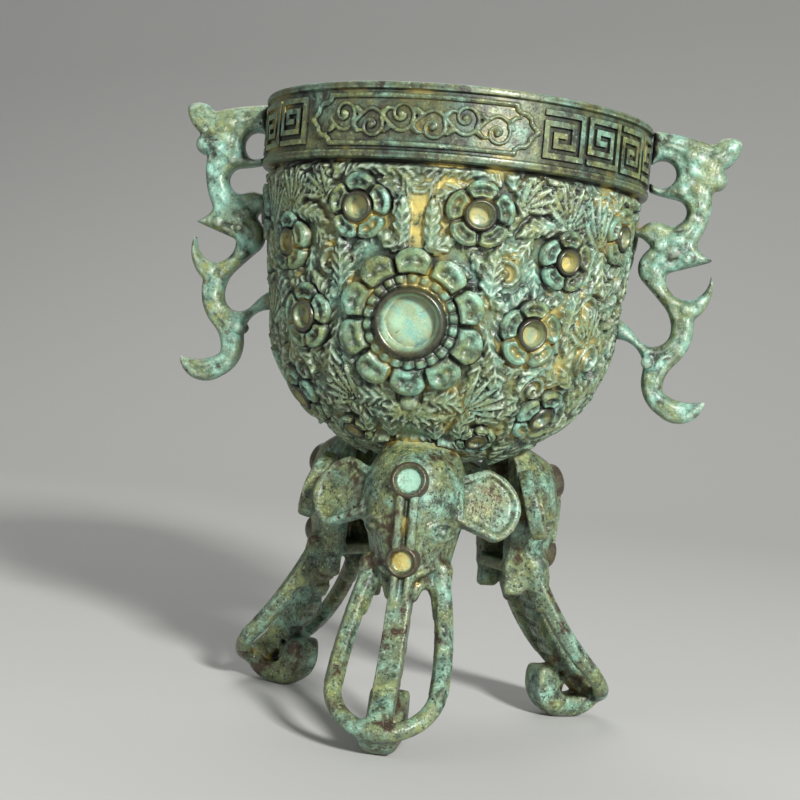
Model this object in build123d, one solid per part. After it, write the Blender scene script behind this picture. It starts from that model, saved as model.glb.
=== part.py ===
from build123d import *
from build123d import SkipClean
from math import asin, atan, cos, degrees, radians, sin, sqrt, tan
import os

# Tripod wine cup of cast bronze: a bullet-shaped bowl with a rim band, two openwork
# dragon handles and three legs, each an elephant head with ears, tusks and a trunk
# whose curled tip is the foot. All sizes are in millimetres and degrees.
# The model is drawn round the cup's own axis, with the front leg towards -Y and the
# handles along X, and is moved at the end so that the origin is the middle of the
# space that it takes up on the table.

# Bowl
MOUTH_RADIUS = 40.0         # outside of the rim band
BOWL_BOTTOM = 53.0          # lowest point of the bowl above the table
BELLY_INSET = 5.2           # how far the rounded belly stays behind the rim band
BELLY_DEPTH = 31.0          # height of the rounded belly
WALL_HEIGHT = 26.6          # straight wall between belly and rim band
WALL_FLARE = 6.0            # degrees that the wall leans outwards
WALL = 2.6                  # thickness of the bowl
BAND_HEIGHT = 14.4
MOULDING_HEIGHT = 1.7       # raised rail above and below the band's field
MOULDING_PROUD = 0.7
LIP_BEVEL = 0.8

# Dragon handles
HANDLE_UNIT = 1.0           # the handle's outline is drawn in units of this length
HANDLE_THICKNESS = 6.2
HANDLE_ROOT = 7.0           # units that the outline is drawn into the bowl before it is trimmed
JAW_HOLE_RADIUS = 2.9

# Elephant heads
LEG_COUNT = 3
HEAD_BACK = 16.0            # from the cup's axis to the back of a head
HEAD_DEPTH = 13.5
HEAD_WIDTH = 21.6
HEAD_WALL = 2.4             # cheeks and chin round the hollow in the back of a head
POCKET_DEPTH = 7.0          # depth of that hollow
POCKET_TAPER = 1.5          # and how much it narrows on each side
LIP_LEVEL = 31.5            # underside of the head above the table
HEAD_SEAT_REACH = 24.0      # where the top of the head meets the bowl, from the axis
# Share of the head's height, of its half width and of its depth at each section.
HEAD_STATIONS = ((0.0, 0.72, 0.89), (0.15, 0.775, 0.95), (0.3, 0.865, 0.985), (0.5, 0.985, 1.0),
                 (0.66, 1.0, 0.94), (0.84, 0.9, 0.8), (1.0, 0.74, 0.63))
JOWL_LENGTH = 4.6           # flaps of the cheeks that hang behind the tusks
JOWL_DEPTH = 4.2
JOWL_INSET = 0.3            # set in from the cheek

# Bezels on the heads
BROW_SHARE = 0.64           # place on the head, as a share of its height
BROW_RADIUS = 3.5
SNOUT_SHARE = 0.13
SNOUT_RADIUS = 3.1
BEZEL_PROUD = 1.3
BEZEL_RIM = 0.8             # width of the ring round the empty seat
BEZEL_DEPTH = 1.0
BEZEL_SIDES = 16            # the small rings have flat sides, few enough to stay light

# Ears
EAR_SHARE = 0.5
EAR_ROOT = 20.0             # from the cup's axis to the root of an ear
EAR_LENGTH = 11.0           # from the cheek to the tip
EAR_INSET = 3.0             # drawn into the cheek before it is trimmed
EAR_HEIGHT = 14.4
EAR_THICKNESS = 3.0
EAR_DISH = 1.0              # depth of the hollow in the front of the ear
EAR_RIM = 1.4
EAR_SWEEP = 30.0            # degrees that the ears lie back
EAR_TILT = 15.0             # degrees that their tops lean back

# Trunks and feet
TRUNK_REACH = 25.4          # middle of the trunk where it leaves the head
TRUNK_DEPTH = 5.2
TRUNK_WIDTH = 4.6
TRUNK_LEAN = 0.2            # outward slope of the trunk where it leaves the head
WRINKLES = 6
WRINKLE_SIDE = 1.3          # square notch, cut cornerwise into the inner edge
WRINKLE_TURN = 15.0
FOOT_REACH = 36.2           # middle of the foot from the cup's axis
FOOT_RADIUS = 8.0           # outer round of the curled tip
FOOT_HOLLOW = 6.2           # inner round of the curled tip
FOOT_HOLLOW_OUT = 1.2       # centre of the inner round, outwards from the outer one
FOOT_HOLLOW_UP = 3.2
FOOT_WIDTH = 7.8
FOOT_FLAT = 0.3             # cut off the round to stand on
CURL_TIP = 11.0             # top of the curled tip above the table
TOE_LEVEL = 5.6             # where the trunk runs into the curl

# Tusks
TUSK_DIAMETER = 3.4         # across the flats
TUSK_SIDES = 6
TUSK_SPREAD = 6.8           # root of a tusk from the middle of the head
TUSK_ROOT = 22.8            # root of a tusk from the cup's axis
TUSK_BEND = 10.0            # radius of the lower bend, and so half the width of the loop
TUSK_LEAN = 46.0            # degrees from upright at the lower bend
LOOP_OUT = 1.2              # where the two tusks meet, outwards from the trunk's toe
LOOP_LEVEL = 5.2

# Flowers on the bowl
ORNAMENT_TURN = -2.8        # the ornament's middle lies a little left of the front leg
ROSETTE_DROP = 29.6         # middle of the large flower below the rim band
ROSETTE_REACH = 14.0
ROSETTE_PETALS = 10
ROSETTE_SOCKET = 6.2
ROSETTE_SIDES = 24          # flat sides of its socket's ring
FLOWER_REACH = 6.3
FLOWER_PETALS = 5
FLOWER_SOCKET = 3.0
FLOWER_SIDES = 12
BLOSSOM_REACH = 5.8         # the flowers that are cast in one with the bowl
BLOSSOM_SOCKET = 2.2
BLOSSOM_SIDES = 6
# Turn from the ornament's middle to both sides, and drop below the rim band.
UPPER_FLOWER = (17.7, 8.9)
SIDE_FLOWER = (37.9, 29.8)
SHOULDER_BLOSSOM = (46.7, 15.6)
HANDLE_BLOSSOM = (71.5, 9.1)
LOW_BLOSSOM = (54.9, 44.8)
PETAL_VALLEY = 0.72         # depth of the notches between petals, as a share of the reach
BLUNT_PETAL = (-0.3, 0.3)   # a petal's outer corners, as shares of its width from its middle
POINTED_PETAL = (0.0,)
PETAL_PROUD = 1.8           # height of the petals over the bowl
SOCKET_PROUD = 2.6          # height of the socket's ring over the bowl
SOCKET_RIM = 0.8
SOCKET_DEPTH = 1.2
BLOSSOM_SINK = 1.5          # how far what is cast on the bowl is drawn into its wall

# Leaves between the flowers
LEAF_LENGTH = 9.4
LEAF_WIDTH = 5.0
LEAF_PROUD = 1.5            # height of a leaf's rib over the bowl
LEAF_SINK = 0.6
LEAF_SHOULDER = 0.4         # broadest place, as a share of the length
LEAF_GAP = 0.6              # between a flower and the leaves round it
LEAF_SPACING = 9.0          # least distance between the middles of two leaves
LEAF_SWIRL = 35.0           # degrees that a leaf lies off its flower's edge
ROSETTE_LEAVES = 16
FLOWER_LEAVES = 7
LEAF_TURN = 76.0            # leaves stay clear of the handles,
LEAF_DROP = 44.0            # of the legs
LEAF_TOP = 4.6              # and of the rim band

# Values that follow from the sizes above
BELLY_RADIUS = MOUTH_RADIUS - BELLY_INSET
BELLY_LEVEL = BOWL_BOTTOM + BELLY_DEPTH
BAND_BOTTOM = BELLY_LEVEL + WALL_HEIGHT
CUP_HEIGHT = BAND_BOTTOM + BAND_HEIGHT
TUSK_RADIUS = TUSK_DIAMETER / 2
FOOT_CENTRE = FOOT_RADIUS - FOOT_FLAT
TOE_REACH = FOOT_REACH + FOOT_HOLLOW
LOOP_REACH = TOE_REACH + LOOP_OUT
FRONT_REACH = LOOP_REACH + TUSK_RADIUS
AXIS_SHIFT = (FRONT_REACH - MOUTH_RADIUS) / 2
MARGIN = 5.0                # how far cutters reach past what they cut


def seat_level(reach):
    """Height of the belly's underside at this distance from the axis."""
    return BELLY_LEVEL - BELLY_DEPTH * sqrt(1 - (reach / BELLY_RADIUS) ** 2)


HEAD_TOP = seat_level(HEAD_SEAT_REACH)
HEAD_HEIGHT = HEAD_TOP - LIP_LEVEL


def flare_angle(growth):
    """Ellipse angle below the belly's level where the straight wall starts."""
    return atan(tan(radians(WALL_FLARE)) * (BELLY_DEPTH + growth) / (BELLY_RADIUS + growth))


def wall_at(level, growth=0.0):
    """Radius of the bowl's outside at a level, and how far it faces down in degrees."""
    radius = BELLY_RADIUS + growth
    depth = BELLY_DEPTH + growth
    turn = flare_angle(growth)
    start = BELLY_LEVEL - depth * sin(turn)
    if level >= start:
        return radius * cos(turn) + (level - start) * tan(radians(WALL_FLARE)), WALL_FLARE
    angle = asin((BELLY_LEVEL - level) / depth)
    return radius * cos(angle), degrees(atan(tan(angle) * radius / depth))


def bowl_form(growth, top):
    """Solid of revolution of the bowl's outline, grown sideways, up to a level."""
    radius = BELLY_RADIUS + growth
    depth = BELLY_DEPTH + growth
    turn = degrees(flare_angle(growth))
    belly = EllipticalCenterArc((0, BELLY_LEVEL), radius, depth, start_angle=-90, arc_size=90 - turn)
    brim = (wall_at(top, growth)[0], top)
    rest = Polyline(belly @ 1, brim, (0, top), belly @ 0)
    return revolve(Plane.XZ * make_face([belly, rest]), Axis.Z)


def band_ring(radius, bottom, top):
    """Solid drum round the axis between two levels."""
    return Pos(0, 0, bottom) * Cylinder(radius, top - bottom, align=(Align.CENTER, Align.CENTER, Align.MIN))


def vessel_form():
    """The bowl and its rim band without their hollow, to trim what is fixed to them."""
    return bowl_form(0, BAND_BOTTOM) + band_ring(MOUTH_RADIUS, BAND_BOTTOM, CUP_HEIGHT)


def plain_bowl():
    """The hollow bowl with its rim band, two mouldings and a bevelled lip."""
    field_bottom = BAND_BOTTOM + MOULDING_HEIGHT
    field_top = CUP_HEIGHT - MOULDING_HEIGHT
    field = band_ring(MOUTH_RADIUS + MARGIN, field_bottom, field_top)
    field -= band_ring(MOUTH_RADIUS - MOULDING_PROUD, field_bottom, field_top)
    shell = vessel_form() - field - bowl_form(-WALL, CUP_HEIGHT)
    lip = shell.edges().filter_by(GeomType.CIRCLE).group_by(Axis.Z)[-1]
    return chamfer(lip, LIP_BEVEL)


def rim_points(*places):
    """Outline points given as handle units out and down from the rim's outer edge."""
    return [(MOUTH_RADIUS + out * HANDLE_UNIT, CUP_HEIGHT - drop * HANDLE_UNIT) for out, drop in places]


def run(*places):
    """One smooth stretch of the handle's outline: an arc and then arcs tangent to it."""
    first, middle, last, *others = rim_points(*places)
    arcs = [ThreePointArc(first, middle, last)]
    for point in others:
        arcs.append(TangentArc(arcs[-1] @ 1, point, tangent=arcs[-1] % 1))
    return arcs


def handle_outline():
    """The dragon seen from the side: horn, snout, spine, hooked mane and curled tail."""
    inside = -HANDLE_ROOT
    edges = [
        *run((inside, 0.4), (4.0, 0.6), (12.1, 2.4)),
        *run((12.1, 2.4), (15.6, 0.6), (18.0, 1.6)),
        *run((18.0, 1.6), (17.2, 4.6), (14.3, 7.4)),
        *run((14.3, 7.4), (15.1, 9.4), (12.8, 11.4)),
        *run((12.8, 11.4), (12.9, 15.0), (10.5, 22.8)),
        *run((10.5, 22.8), (12.2, 24.7), (14.7, 25.6)),
        *run((14.7, 25.6), (9.6, 27.4), (5.1, 28.9)),
        *run((5.1, 28.9), (7.5, 33.6), (12.6, 32.6), (14.0, 28.3)),
        *run((14.0, 28.3), (14.2, 34.0), (11.4, 37.9)),
        *run((11.4, 37.9), (11.0, 43.4), (8.4, 47.4), (6.4, 53.1)),
        *run((6.4, 53.1), (10.5, 54.7), (15.2, 54.2)),
        *run((15.2, 54.2), (11.6, 59.0), (6.2, 58.0)),
        *run((6.2, 58.0), (2.6, 54.2), (2.0, 49.6), (-3.8, 43.1), (inside, 41.7)),
        Line(*rim_points((inside, 41.7), (inside, 0.4))),
    ]
    return make_face(edges)


def finger_gap():
    """The large gap between the lower half of the dragon and the bowl."""
    inside = -HANDLE_ROOT
    edges = [
        *run((inside, 37.6), (-3.3, 39.1), (0.3, 42.4), (4.0, 44.0), (7.0, 40.7), (5.0, 35.5), (0.4, 30.9),
             (-0.5, 26.5), (1.7, 23.8)),
        Polyline(*rim_points((1.7, 23.8), (-0.7, 21.9), (inside, 21.9), (inside, 37.6))),
    ]
    return make_face(edges)


def throat_gap():
    """The gap under the dragon's jaw."""
    inside = -HANDLE_ROOT
    edges = [
        *run((-0.6, 12.4), (2.6, 13.3), (5.7, 13.8), (7.4, 18.1), (3.5, 18.9), (-0.9, 20.2)),
        Polyline(*rim_points((-0.9, 20.2), (inside, 20.2), (inside, 12.4), (-0.6, 12.4))),
    ]
    return make_face(edges)


def handle():
    """One dragon handle, on the +X side, trimmed to the bowl's outside."""
    jaw_hole = Pos(*rim_points((2.4, 8.9))[0]) * Circle(JAW_HOLE_RADIUS)
    outline = handle_outline() - finger_gap() - throat_gap() - jaw_hole
    return extrude(Plane.XZ * outline, HANDLE_THICKNESS / 2, both=True) - vessel_form()


# The leg's pieces are drawn with X outwards from the cup's axis and Y across the leg.


def head_level(share):
    """Height above the table of a share of the head's height."""
    return LIP_LEVEL + share * HEAD_HEIGHT


def head_front(share):
    """Distance of the head's front from the axis at a share of its height, and its slope."""
    for lower, upper in zip(HEAD_STATIONS, HEAD_STATIONS[1:]):
        if lower[0] <= share <= upper[0]:
            slope = (upper[2] - lower[2]) / (upper[0] - lower[0])
            depth = lower[2] + slope * (share - lower[0])
            return HEAD_BACK + HEAD_DEPTH * depth, slope * HEAD_DEPTH / HEAD_HEIGHT


def head_form():
    """Rounded head through its sections."""
    sections = []
    for share, width, depth in HEAD_STATIONS:
        round_front = EllipticalCenterArc((HEAD_BACK, 0), HEAD_DEPTH * depth, HEAD_WIDTH / 2 * width,
                                          start_angle=-90, arc_size=180)
        section = make_face([round_front, Line(round_front @ 1, round_front @ 0)])
        sections.append(Pos(0, 0, head_level(share)) * section)
    return loft(sections)


def head_pocket():
    """Hollow in the back of the head, narrower in front than behind."""
    half_back = HEAD_WIDTH / 2 * HEAD_STATIONS[0][1] - HEAD_WALL
    half_front = half_back - POCKET_TAPER
    outline = make_face(Polyline(
        (HEAD_BACK, -half_back), (HEAD_BACK + POCKET_DEPTH, -half_front),
        (HEAD_BACK + POCKET_DEPTH, half_front), (HEAD_BACK, half_back), close=True))
    return Pos(0, 0, LIP_LEVEL + HEAD_WALL) * extrude(outline, HEAD_HEIGHT)


def jowl(side):
    """Flap of the cheek behind a tusk, on one side of the head."""
    outer = HEAD_WIDTH / 2 * HEAD_STATIONS[0][1] - JOWL_INSET
    back = HEAD_BACK + JOWL_INSET
    outline = make_face(Polyline(
        (back, LIP_LEVEL + MARGIN), (back + JOWL_DEPTH, LIP_LEVEL + MARGIN),
        (back + JOWL_DEPTH, LIP_LEVEL - JOWL_LENGTH), (back + JOWL_DEPTH / 2, LIP_LEVEL - JOWL_LENGTH),
        close=True))
    flap = extrude(Plane.XZ * outline, HEAD_WALL / 2, both=True)
    return Pos(0, side * (outer - HEAD_WALL / 2), 0) * flap


def head():
    """Head casting, hollow behind, with two jowls, trimmed to the bowl."""
    return head_form() - head_pocket() + jowl(1) + jowl(-1) - vessel_form()


def bezel(share, radius):
    """Round empty stone seat on the front of the head."""
    front, slope = head_front(share)
    place = Plane((front, 0, head_level(share)), x_dir=(0, 1, 0), z_dir=(1, 0, -slope))
    ring = extrude(RegularPolygon(radius, BEZEL_SIDES), -(BEZEL_PROUD + HEAD_WALL))
    seat = extrude(RegularPolygon(radius - BEZEL_RIM, BEZEL_SIDES), -BEZEL_DEPTH)
    return place * Pos(0, 0, BEZEL_PROUD) * (ring - seat) - head_form()


def ear(side):
    """Fan-shaped ear with a rolled rim, on one side of the head, trimmed to the cheek."""
    half = EAR_HEIGHT / 2
    cheek = HEAD_WIDTH / 2
    root_top = (-EAR_INSET, half * 0.65)
    root_bottom = (-EAR_INSET, -half * 0.5)
    crown = (EAR_LENGTH * 0.55, half)
    lobe = (EAR_LENGTH * 0.5, -half)
    outline = make_face([
        Line(root_top, crown),
        ThreePointArc(crown, (EAR_LENGTH, half * 0.1), lobe),
        Line(lobe, root_bottom),
        Line(root_bottom, root_top),
    ])
    plate = extrude(outline, EAR_THICKNESS / 2, both=True)
    dish = Pos(0, 0, EAR_THICKNESS / 2 - EAR_DISH) * extrude(offset(outline, -EAR_RIM), EAR_THICKNESS)
    sweep_angle = radians(EAR_SWEEP)
    tilt = radians(EAR_TILT)
    outwards = Vector(-sin(sweep_angle), cos(sweep_angle), 0)
    facing = Vector(cos(sweep_angle), sin(sweep_angle), 0) * cos(tilt) + Vector(0, 0, sin(tilt))
    fan = Plane((EAR_ROOT, cheek, head_level(EAR_SHARE)), x_dir=outwards, z_dir=facing)
    one = fan * (plate - dish) - head_form()
    return one if side > 0 else mirror(one, Plane.XZ)


def tusk_rod(side):
    """Six-sided tusk: a quarter bend from the middle of the loop, then a long arc to its root."""
    lean = radians(TUSK_LEAN)
    meeting = Vector(LOOP_REACH, 0, LOOP_LEVEL)
    climb = Vector(-sin(lean), 0, cos(lean))
    widest = meeting + climb * TUSK_BEND + Vector(0, TUSK_BEND, 0)
    root = Vector(TUSK_ROOT, TUSK_SPREAD, LIP_LEVEL + HEAD_WALL / 2)
    path = Wire([TangentArc(meeting, widest, tangent=(0, 1, 0)), TangentArc(widest, root, tangent=climb)])
    section = RegularPolygon(TUSK_RADIUS, TUSK_SIDES, major_radius=False)
    rod = sweep(Plane(meeting, x_dir=climb, z_dir=(0, 1, 0)) * section, path)
    return rod if side > 0 else mirror(rod, Plane.XZ)


def tusk(side):
    """One tusk, trimmed to the underside of the head."""
    return tusk_rod(side) - head_form()


def trunk_path():
    """Middle line of the trunk from inside the head down to the toe, seen from the side."""
    top = (TRUNK_REACH, LIP_LEVEL + HEAD_WALL / 2)
    return TangentArc(top, (TOE_REACH, TOE_LEVEL), tangent=(TRUNK_LEAN, -1))


def foot_curl():
    """Crescent of the curled tip, seen from the side."""
    centre = (FOOT_REACH, FOOT_CENTRE)
    hollow_centre = (FOOT_REACH + FOOT_HOLLOW_OUT, FOOT_CENTRE + FOOT_HOLLOW_UP)
    crescent = Pos(*centre) * Circle(FOOT_RADIUS) - Pos(*hollow_centre) * Circle(FOOT_HOLLOW)
    span = FOOT_RADIUS + MARGIN
    tip_side = Pos(FOOT_REACH - span / 2, CURL_TIP / 2) * Rectangle(span, CURL_TIP)
    toe_side = Pos(FOOT_REACH + span / 2, TOE_LEVEL / 2) * Rectangle(span, TOE_LEVEL)
    return crescent & (tip_side + toe_side)


def foot_front():
    """Foot seen from the front: straight sides over a round underside."""
    radius = FOOT_WIDTH / 2
    centre = radius - FOOT_FLAT
    sides = Pos(0, centre) * Rectangle(FOOT_WIDTH, CURL_TIP, align=(Align.CENTER, Align.MIN))
    return sides + Pos(0, centre) * Circle(radius)


def trunk():
    """Trunk with a wrinkled inner edge and a curled tip that is the foot."""
    path = trunk_path()
    rod = extrude(Plane.XZ * trace(path, TRUNK_DEPTH), TRUNK_WIDTH / 2, both=True)
    notch = Box(WRINKLE_SIDE, TRUNK_WIDTH + MARGIN, WRINKLE_SIDE)
    for step in range(WRINKLES):
        share = (step + 1) / (WRINKLES + 2)
        along = path % share
        inner = path @ share + Vector(along.Y, -along.X) * (TRUNK_DEPTH / 2)
        rod -= Pos(inner.X, 0, inner.Y) * Rot(0, WRINKLE_TURN, 0) * notch
    foot = extrude(Plane.XZ * foot_curl(), FOOT_WIDTH / 2, both=True)
    foot &= Pos(FOOT_REACH, 0, 0) * extrude(Plane.YZ * foot_front(), 2 * FOOT_RADIUS, both=True)
    table = Pos(FOOT_REACH, 0, 0) * Box(4 * FOOT_RADIUS, 2 * FOOT_WIDTH, MARGIN, align=(
        Align.CENTER, Align.CENTER, Align.MAX))
    return rod + foot - table - head_form() - tusk_rod(1) - tusk_rod(-1)


def leg_pieces():
    """Every piece of one leg by name."""
    return {
        "head": head(),
        "trunk": trunk(),
        "left_ear": ear(-1),
        "right_ear": ear(1),
        "left_tusk": tusk(-1),
        "right_tusk": tusk(1),
        "brow_bezel": bezel(BROW_SHARE, BROW_RADIUS),
        "snout_bezel": bezel(SNOUT_SHARE, SNOUT_RADIUS),
    }


def flower_place(turn, drop):
    """Plane on the bowl's outside, facing outwards, at a turn from the ornament's middle."""
    level = BAND_BOTTOM - drop
    radius, fall = wall_at(level)
    angle = radians(turn + ORNAMENT_TURN)
    out = Vector(sin(angle), -cos(angle), 0)
    facing = out * cos(radians(fall)) - Vector(0, 0, sin(radians(fall)))
    across = Vector(cos(angle), sin(angle), 0)
    return Plane(out * radius + Vector(0, 0, level), x_dir=across, z_dir=facing)


def petal_outline(reach, petals, corners):
    """Lobed outline: each petal is a wedge with one or two outer corners."""
    points = []
    for petal in range(petals):
        middle = 90 + petal * 360 / petals
        for turn, radius in ((-0.5, reach * PETAL_VALLEY), *((corner, reach) for corner in corners)):
            angle = radians(middle + turn * 360 / petals)
            points.append((radius * cos(angle), radius * sin(angle)))
    return make_face(Polyline(*points, close=True))


def socket_ring(place, socket, sides):
    """Raised ring that reaches down into the bowl's wall, and the empty seat inside it."""
    top = place * Pos(0, 0, SOCKET_PROUD)
    ring = extrude(RegularPolygon(socket, sides), -(SOCKET_PROUD + MARGIN))
    seat = extrude(RegularPolygon(socket - SOCKET_RIM, sides), -SOCKET_DEPTH)
    return top * ring, top * seat


def rosette():
    """Large flower whose petals follow the bowl's curve."""
    place = flower_place(0, ROSETTE_DROP)
    outline = place * petal_outline(ROSETTE_REACH, ROSETTE_PETALS, BLUNT_PETAL)
    blank = extrude(outline, 2 * MARGIN, both=True)
    ring, seat = socket_ring(place, ROSETTE_SOCKET, ROSETTE_SIDES)
    petals = blank & bowl_form(PETAL_PROUD, BAND_BOTTOM)
    return petals + ring - seat - bowl_form(0, BAND_BOTTOM)


def flower(turn, drop):
    """Small flat flower with an empty socket."""
    place = flower_place(turn, drop)
    outline = place * Pos(0, 0, -MARGIN) * petal_outline(FLOWER_REACH, FLOWER_PETALS, BLUNT_PETAL)
    ring, seat = socket_ring(place, FLOWER_SOCKET, FLOWER_SIDES)
    return extrude(outline, PETAL_PROUD + MARGIN) + ring - seat - bowl_form(0, BAND_BOTTOM)


def blossom(turn, drop):
    """Smaller flower with a plain empty socket, drawn a little way into the bowl's wall."""
    place = flower_place(turn, drop)
    outline = place * Pos(0, 0, -BLOSSOM_SINK) * petal_outline(BLOSSOM_REACH, FLOWER_PETALS, POINTED_PETAL)
    seat = place * Pos(0, 0, PETAL_PROUD) * extrude(RegularPolygon(BLOSSOM_SOCKET, BLOSSOM_SIDES), -SOCKET_DEPTH)
    return extrude(outline, PETAL_PROUD + BLOSSOM_SINK) - seat


def leaf(turn, drop, heading):
    """Pointed leaf with a raised rib, as a four-sided boss drawn a little way into the bowl's wall."""
    spread = 1 + LEAF_SINK / LEAF_PROUD
    back = -LEAF_LENGTH * LEAF_SHOULDER * spread
    tip = back + LEAF_LENGTH * spread
    side = LEAF_WIDTH / 2 * spread
    outline = make_face(Polyline((back, 0), (0, -side), (tip, 0), (0, side), close=True))
    place = flower_place(turn, drop) * Rot(0, 0, heading)
    return place * loft([Pos(0, 0, -LEAF_SINK) * outline, Vertex(0, 0, LEAF_PROUD)], ruled=True)


def apart(first, second):
    """Distance between two places on the bowl's outside."""
    return (flower_place(*first).origin - flower_place(*second).origin).length


def leaf_places():
    """Turn, drop and heading of the leaves right of the middle: rings round the flowers, where there is room."""
    small = [(place, FLOWER_REACH, FLOWER_LEAVES) for place in (UPPER_FLOWER, SIDE_FLOWER)]
    small += [(place, BLOSSOM_REACH, FLOWER_LEAVES) for place in (SHOULDER_BLOSSOM, HANDLE_BLOSSOM, LOW_BLOSSOM)]
    flowers = [((0, ROSETTE_DROP), ROSETTE_REACH, ROSETTE_LEAVES), *small]
    mirrored = [((-turn, drop), reach, 0) for (turn, drop), reach, count in small]
    places = []
    for (turn, drop), reach, count in flowers:
        radius = wall_at(BAND_BOTTOM - drop)[0]
        ring = reach + LEAF_GAP + LEAF_WIDTH / 2
        for step in range(count):
            angle = (step + 0.5) * 360 / count
            place = (turn + degrees(ring * cos(radians(angle)) / radius), drop - ring * sin(radians(angle)))
            inside = LEAF_SPACING / 2 < radians(place[0]) * radius and place[0] < LEAF_TURN
            inside = inside and LEAF_TOP < place[1] < LEAF_DROP
            clear = all(apart(place, other) > size + LEAF_WIDTH / 2 for other, size, _ in flowers + mirrored)
            roomy = all(apart(place, other[:2]) > LEAF_SPACING for other in places)
            if inside and clear and roomy:
                places.append((*place, angle + 90 - LEAF_SWIRL))
    return places


def cast_on_ornament():
    """Leaves and smaller flowers that are cast in one with the bowl, on its front and back."""
    front, back = [], []
    for side in (1, -1):
        for turn, drop, heading in leaf_places():
            one = leaf(side * turn, drop, heading if side > 0 else 180 - heading)
            front.append(one)
            back.append(one)
        for turn, drop in (SHOULDER_BLOSSOM, HANDLE_BLOSSOM):
            front.append(blossom(side * turn, drop))
            back.append(front[-1])
        front.append(blossom(side * LOW_BLOSSOM[0], LOW_BLOSSOM[1]))
        back += [blossom(side * turn, drop) for turn, drop in (UPPER_FLOWER, SIDE_FLOWER)]
    return front + [Rot(0, 0, 180) * one for one in back]


def bowl():
    """The bowl with its cast-on ornament, joined from two halves that keep their own faces."""
    shell = plain_bowl()
    front, back = (split(shell, Plane.XZ, keep=half) for half in (Keep.TOP, Keep.BOTTOM))
    with SkipClean():
        return front.fuse(back, *cast_on_ornament())


def cup_pieces():
    """Every piece of the cup by name, round the cup's own axis."""
    right_handle = handle()
    pieces = {"bowl": bowl(), "right_handle": right_handle, "left_handle": mirror(right_handle, Plane.YZ)}
    one_leg = leg_pieces()
    for number, name in enumerate(("front", "right", "left")):
        turn = Rot(0, 0, -90 + number * 360 / LEG_COUNT)
        for piece_name, piece in one_leg.items():
            pieces[f"{name}_leg_{piece_name}"] = turn * piece
    front_rosette = rosette()
    pieces["front_rosette"] = front_rosette
    pieces["back_rosette"] = Rot(0, 0, 180) * front_rosette
    for name, side in (("left", -1), ("right", 1)):
        pieces[f"upper_{name}_flower"] = flower(side * UPPER_FLOWER[0], UPPER_FLOWER[1])
        pieces[f"side_{name}_flower"] = flower(side * SIDE_FLOWER[0], SIDE_FLOWER[1])
    return pieces


os.makedirs("parts", exist_ok=True)
for node, piece in cup_pieces().items():
    export_step(Pos(0, AXIS_SHIFT, 0) * piece, f"parts/{node}.step")
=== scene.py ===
"""Looks of a patinated bronze tripod cup with dragon handles and elephant-head legs."""

import logging
import math
import random
from dataclasses import dataclass
from enum import Enum
from functools import cached_property
from typing import Iterable, Sequence

import bmesh
import bpy
import numpy as np
from bmesh.types import BMesh, BMVert
from mathutils import Matrix, Vector
from mathutils.bvhtree import BVHTree
from mathutils.kdtree import KDTree


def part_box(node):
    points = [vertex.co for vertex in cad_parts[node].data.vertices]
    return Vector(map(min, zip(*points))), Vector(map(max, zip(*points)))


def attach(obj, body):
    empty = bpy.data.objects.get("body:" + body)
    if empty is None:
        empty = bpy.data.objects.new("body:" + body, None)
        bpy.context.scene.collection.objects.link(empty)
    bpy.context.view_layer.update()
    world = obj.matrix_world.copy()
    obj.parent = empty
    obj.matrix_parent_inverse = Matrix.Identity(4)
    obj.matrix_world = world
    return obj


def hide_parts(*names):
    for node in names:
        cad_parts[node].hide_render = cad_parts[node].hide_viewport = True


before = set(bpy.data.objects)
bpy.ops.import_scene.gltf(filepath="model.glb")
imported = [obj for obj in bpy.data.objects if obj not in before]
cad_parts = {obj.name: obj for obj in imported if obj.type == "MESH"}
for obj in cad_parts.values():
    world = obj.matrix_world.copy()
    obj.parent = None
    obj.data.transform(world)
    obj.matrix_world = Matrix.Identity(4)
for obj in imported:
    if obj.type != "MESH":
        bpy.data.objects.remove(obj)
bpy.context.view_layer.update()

log = logging.getLogger("cup")

# Pieces are drawn in millimetres round the cup's own axis, and PLACE takes them to the row frame.
MM = 0.001
MERGE_GAP = 1e-4
BODY = "root"
BOWL_LOW, BOWL_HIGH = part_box("bowl")
AXIS_Y = (BOWL_LOW.y + BOWL_HIGH.y) / 2
PLACE = Matrix.Translation((0, AXIS_Y, 0)) @ Matrix.Scale(MM, 4)

# The balls of a rod lie this share of their radius apart, and small ones have fewer faces.
ROD_STEP = 0.7
SMALL_BALL = 1.0


class Slot(Enum):
    """Names for material slots."""

    BOWL = "bowl_bronze"
    HANDLE = "handle_bronze"
    LEG = "leg_bronze"


def linear(code: str) -> tuple[float, float, float, float]:
    """Turns an sRGB hex colour to linear.

    Args:
        code: Six hex digits with a leading hash sign.

    Returns:
        Linear red, green, blue and an alpha of one.
    """
    parts = [int(code[i:i + 2], 16) / 255 for i in (1, 3, 5)]
    return (*[c / 12.92 if c <= 0.04045 else ((c + 0.055) / 1.055) ** 2.4 for c in parts], 1.0)


def add_node(tree: bpy.types.NodeTree, kind: str, inputs: dict | None = None, **settings) -> bpy.types.Node:
    """Adds one node with its settings, values and links.

    Args:
        tree: Node tree that gets the node.
        kind: Node type without its "ShaderNode" prefix.
        inputs: Values or output sockets by input name or number.
        **settings: Properties of the node itself.

    Returns:
        The new node.
    """
    made = tree.nodes.new("ShaderNode" + kind)
    for key, value in settings.items():
        setattr(made, key, value)
    for key, value in (inputs or {}).items():
        if isinstance(value, bpy.types.NodeSocket):
            tree.links.new(value, made.inputs[key])
        else:
            made.inputs[key].default_value = value
    return made


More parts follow.
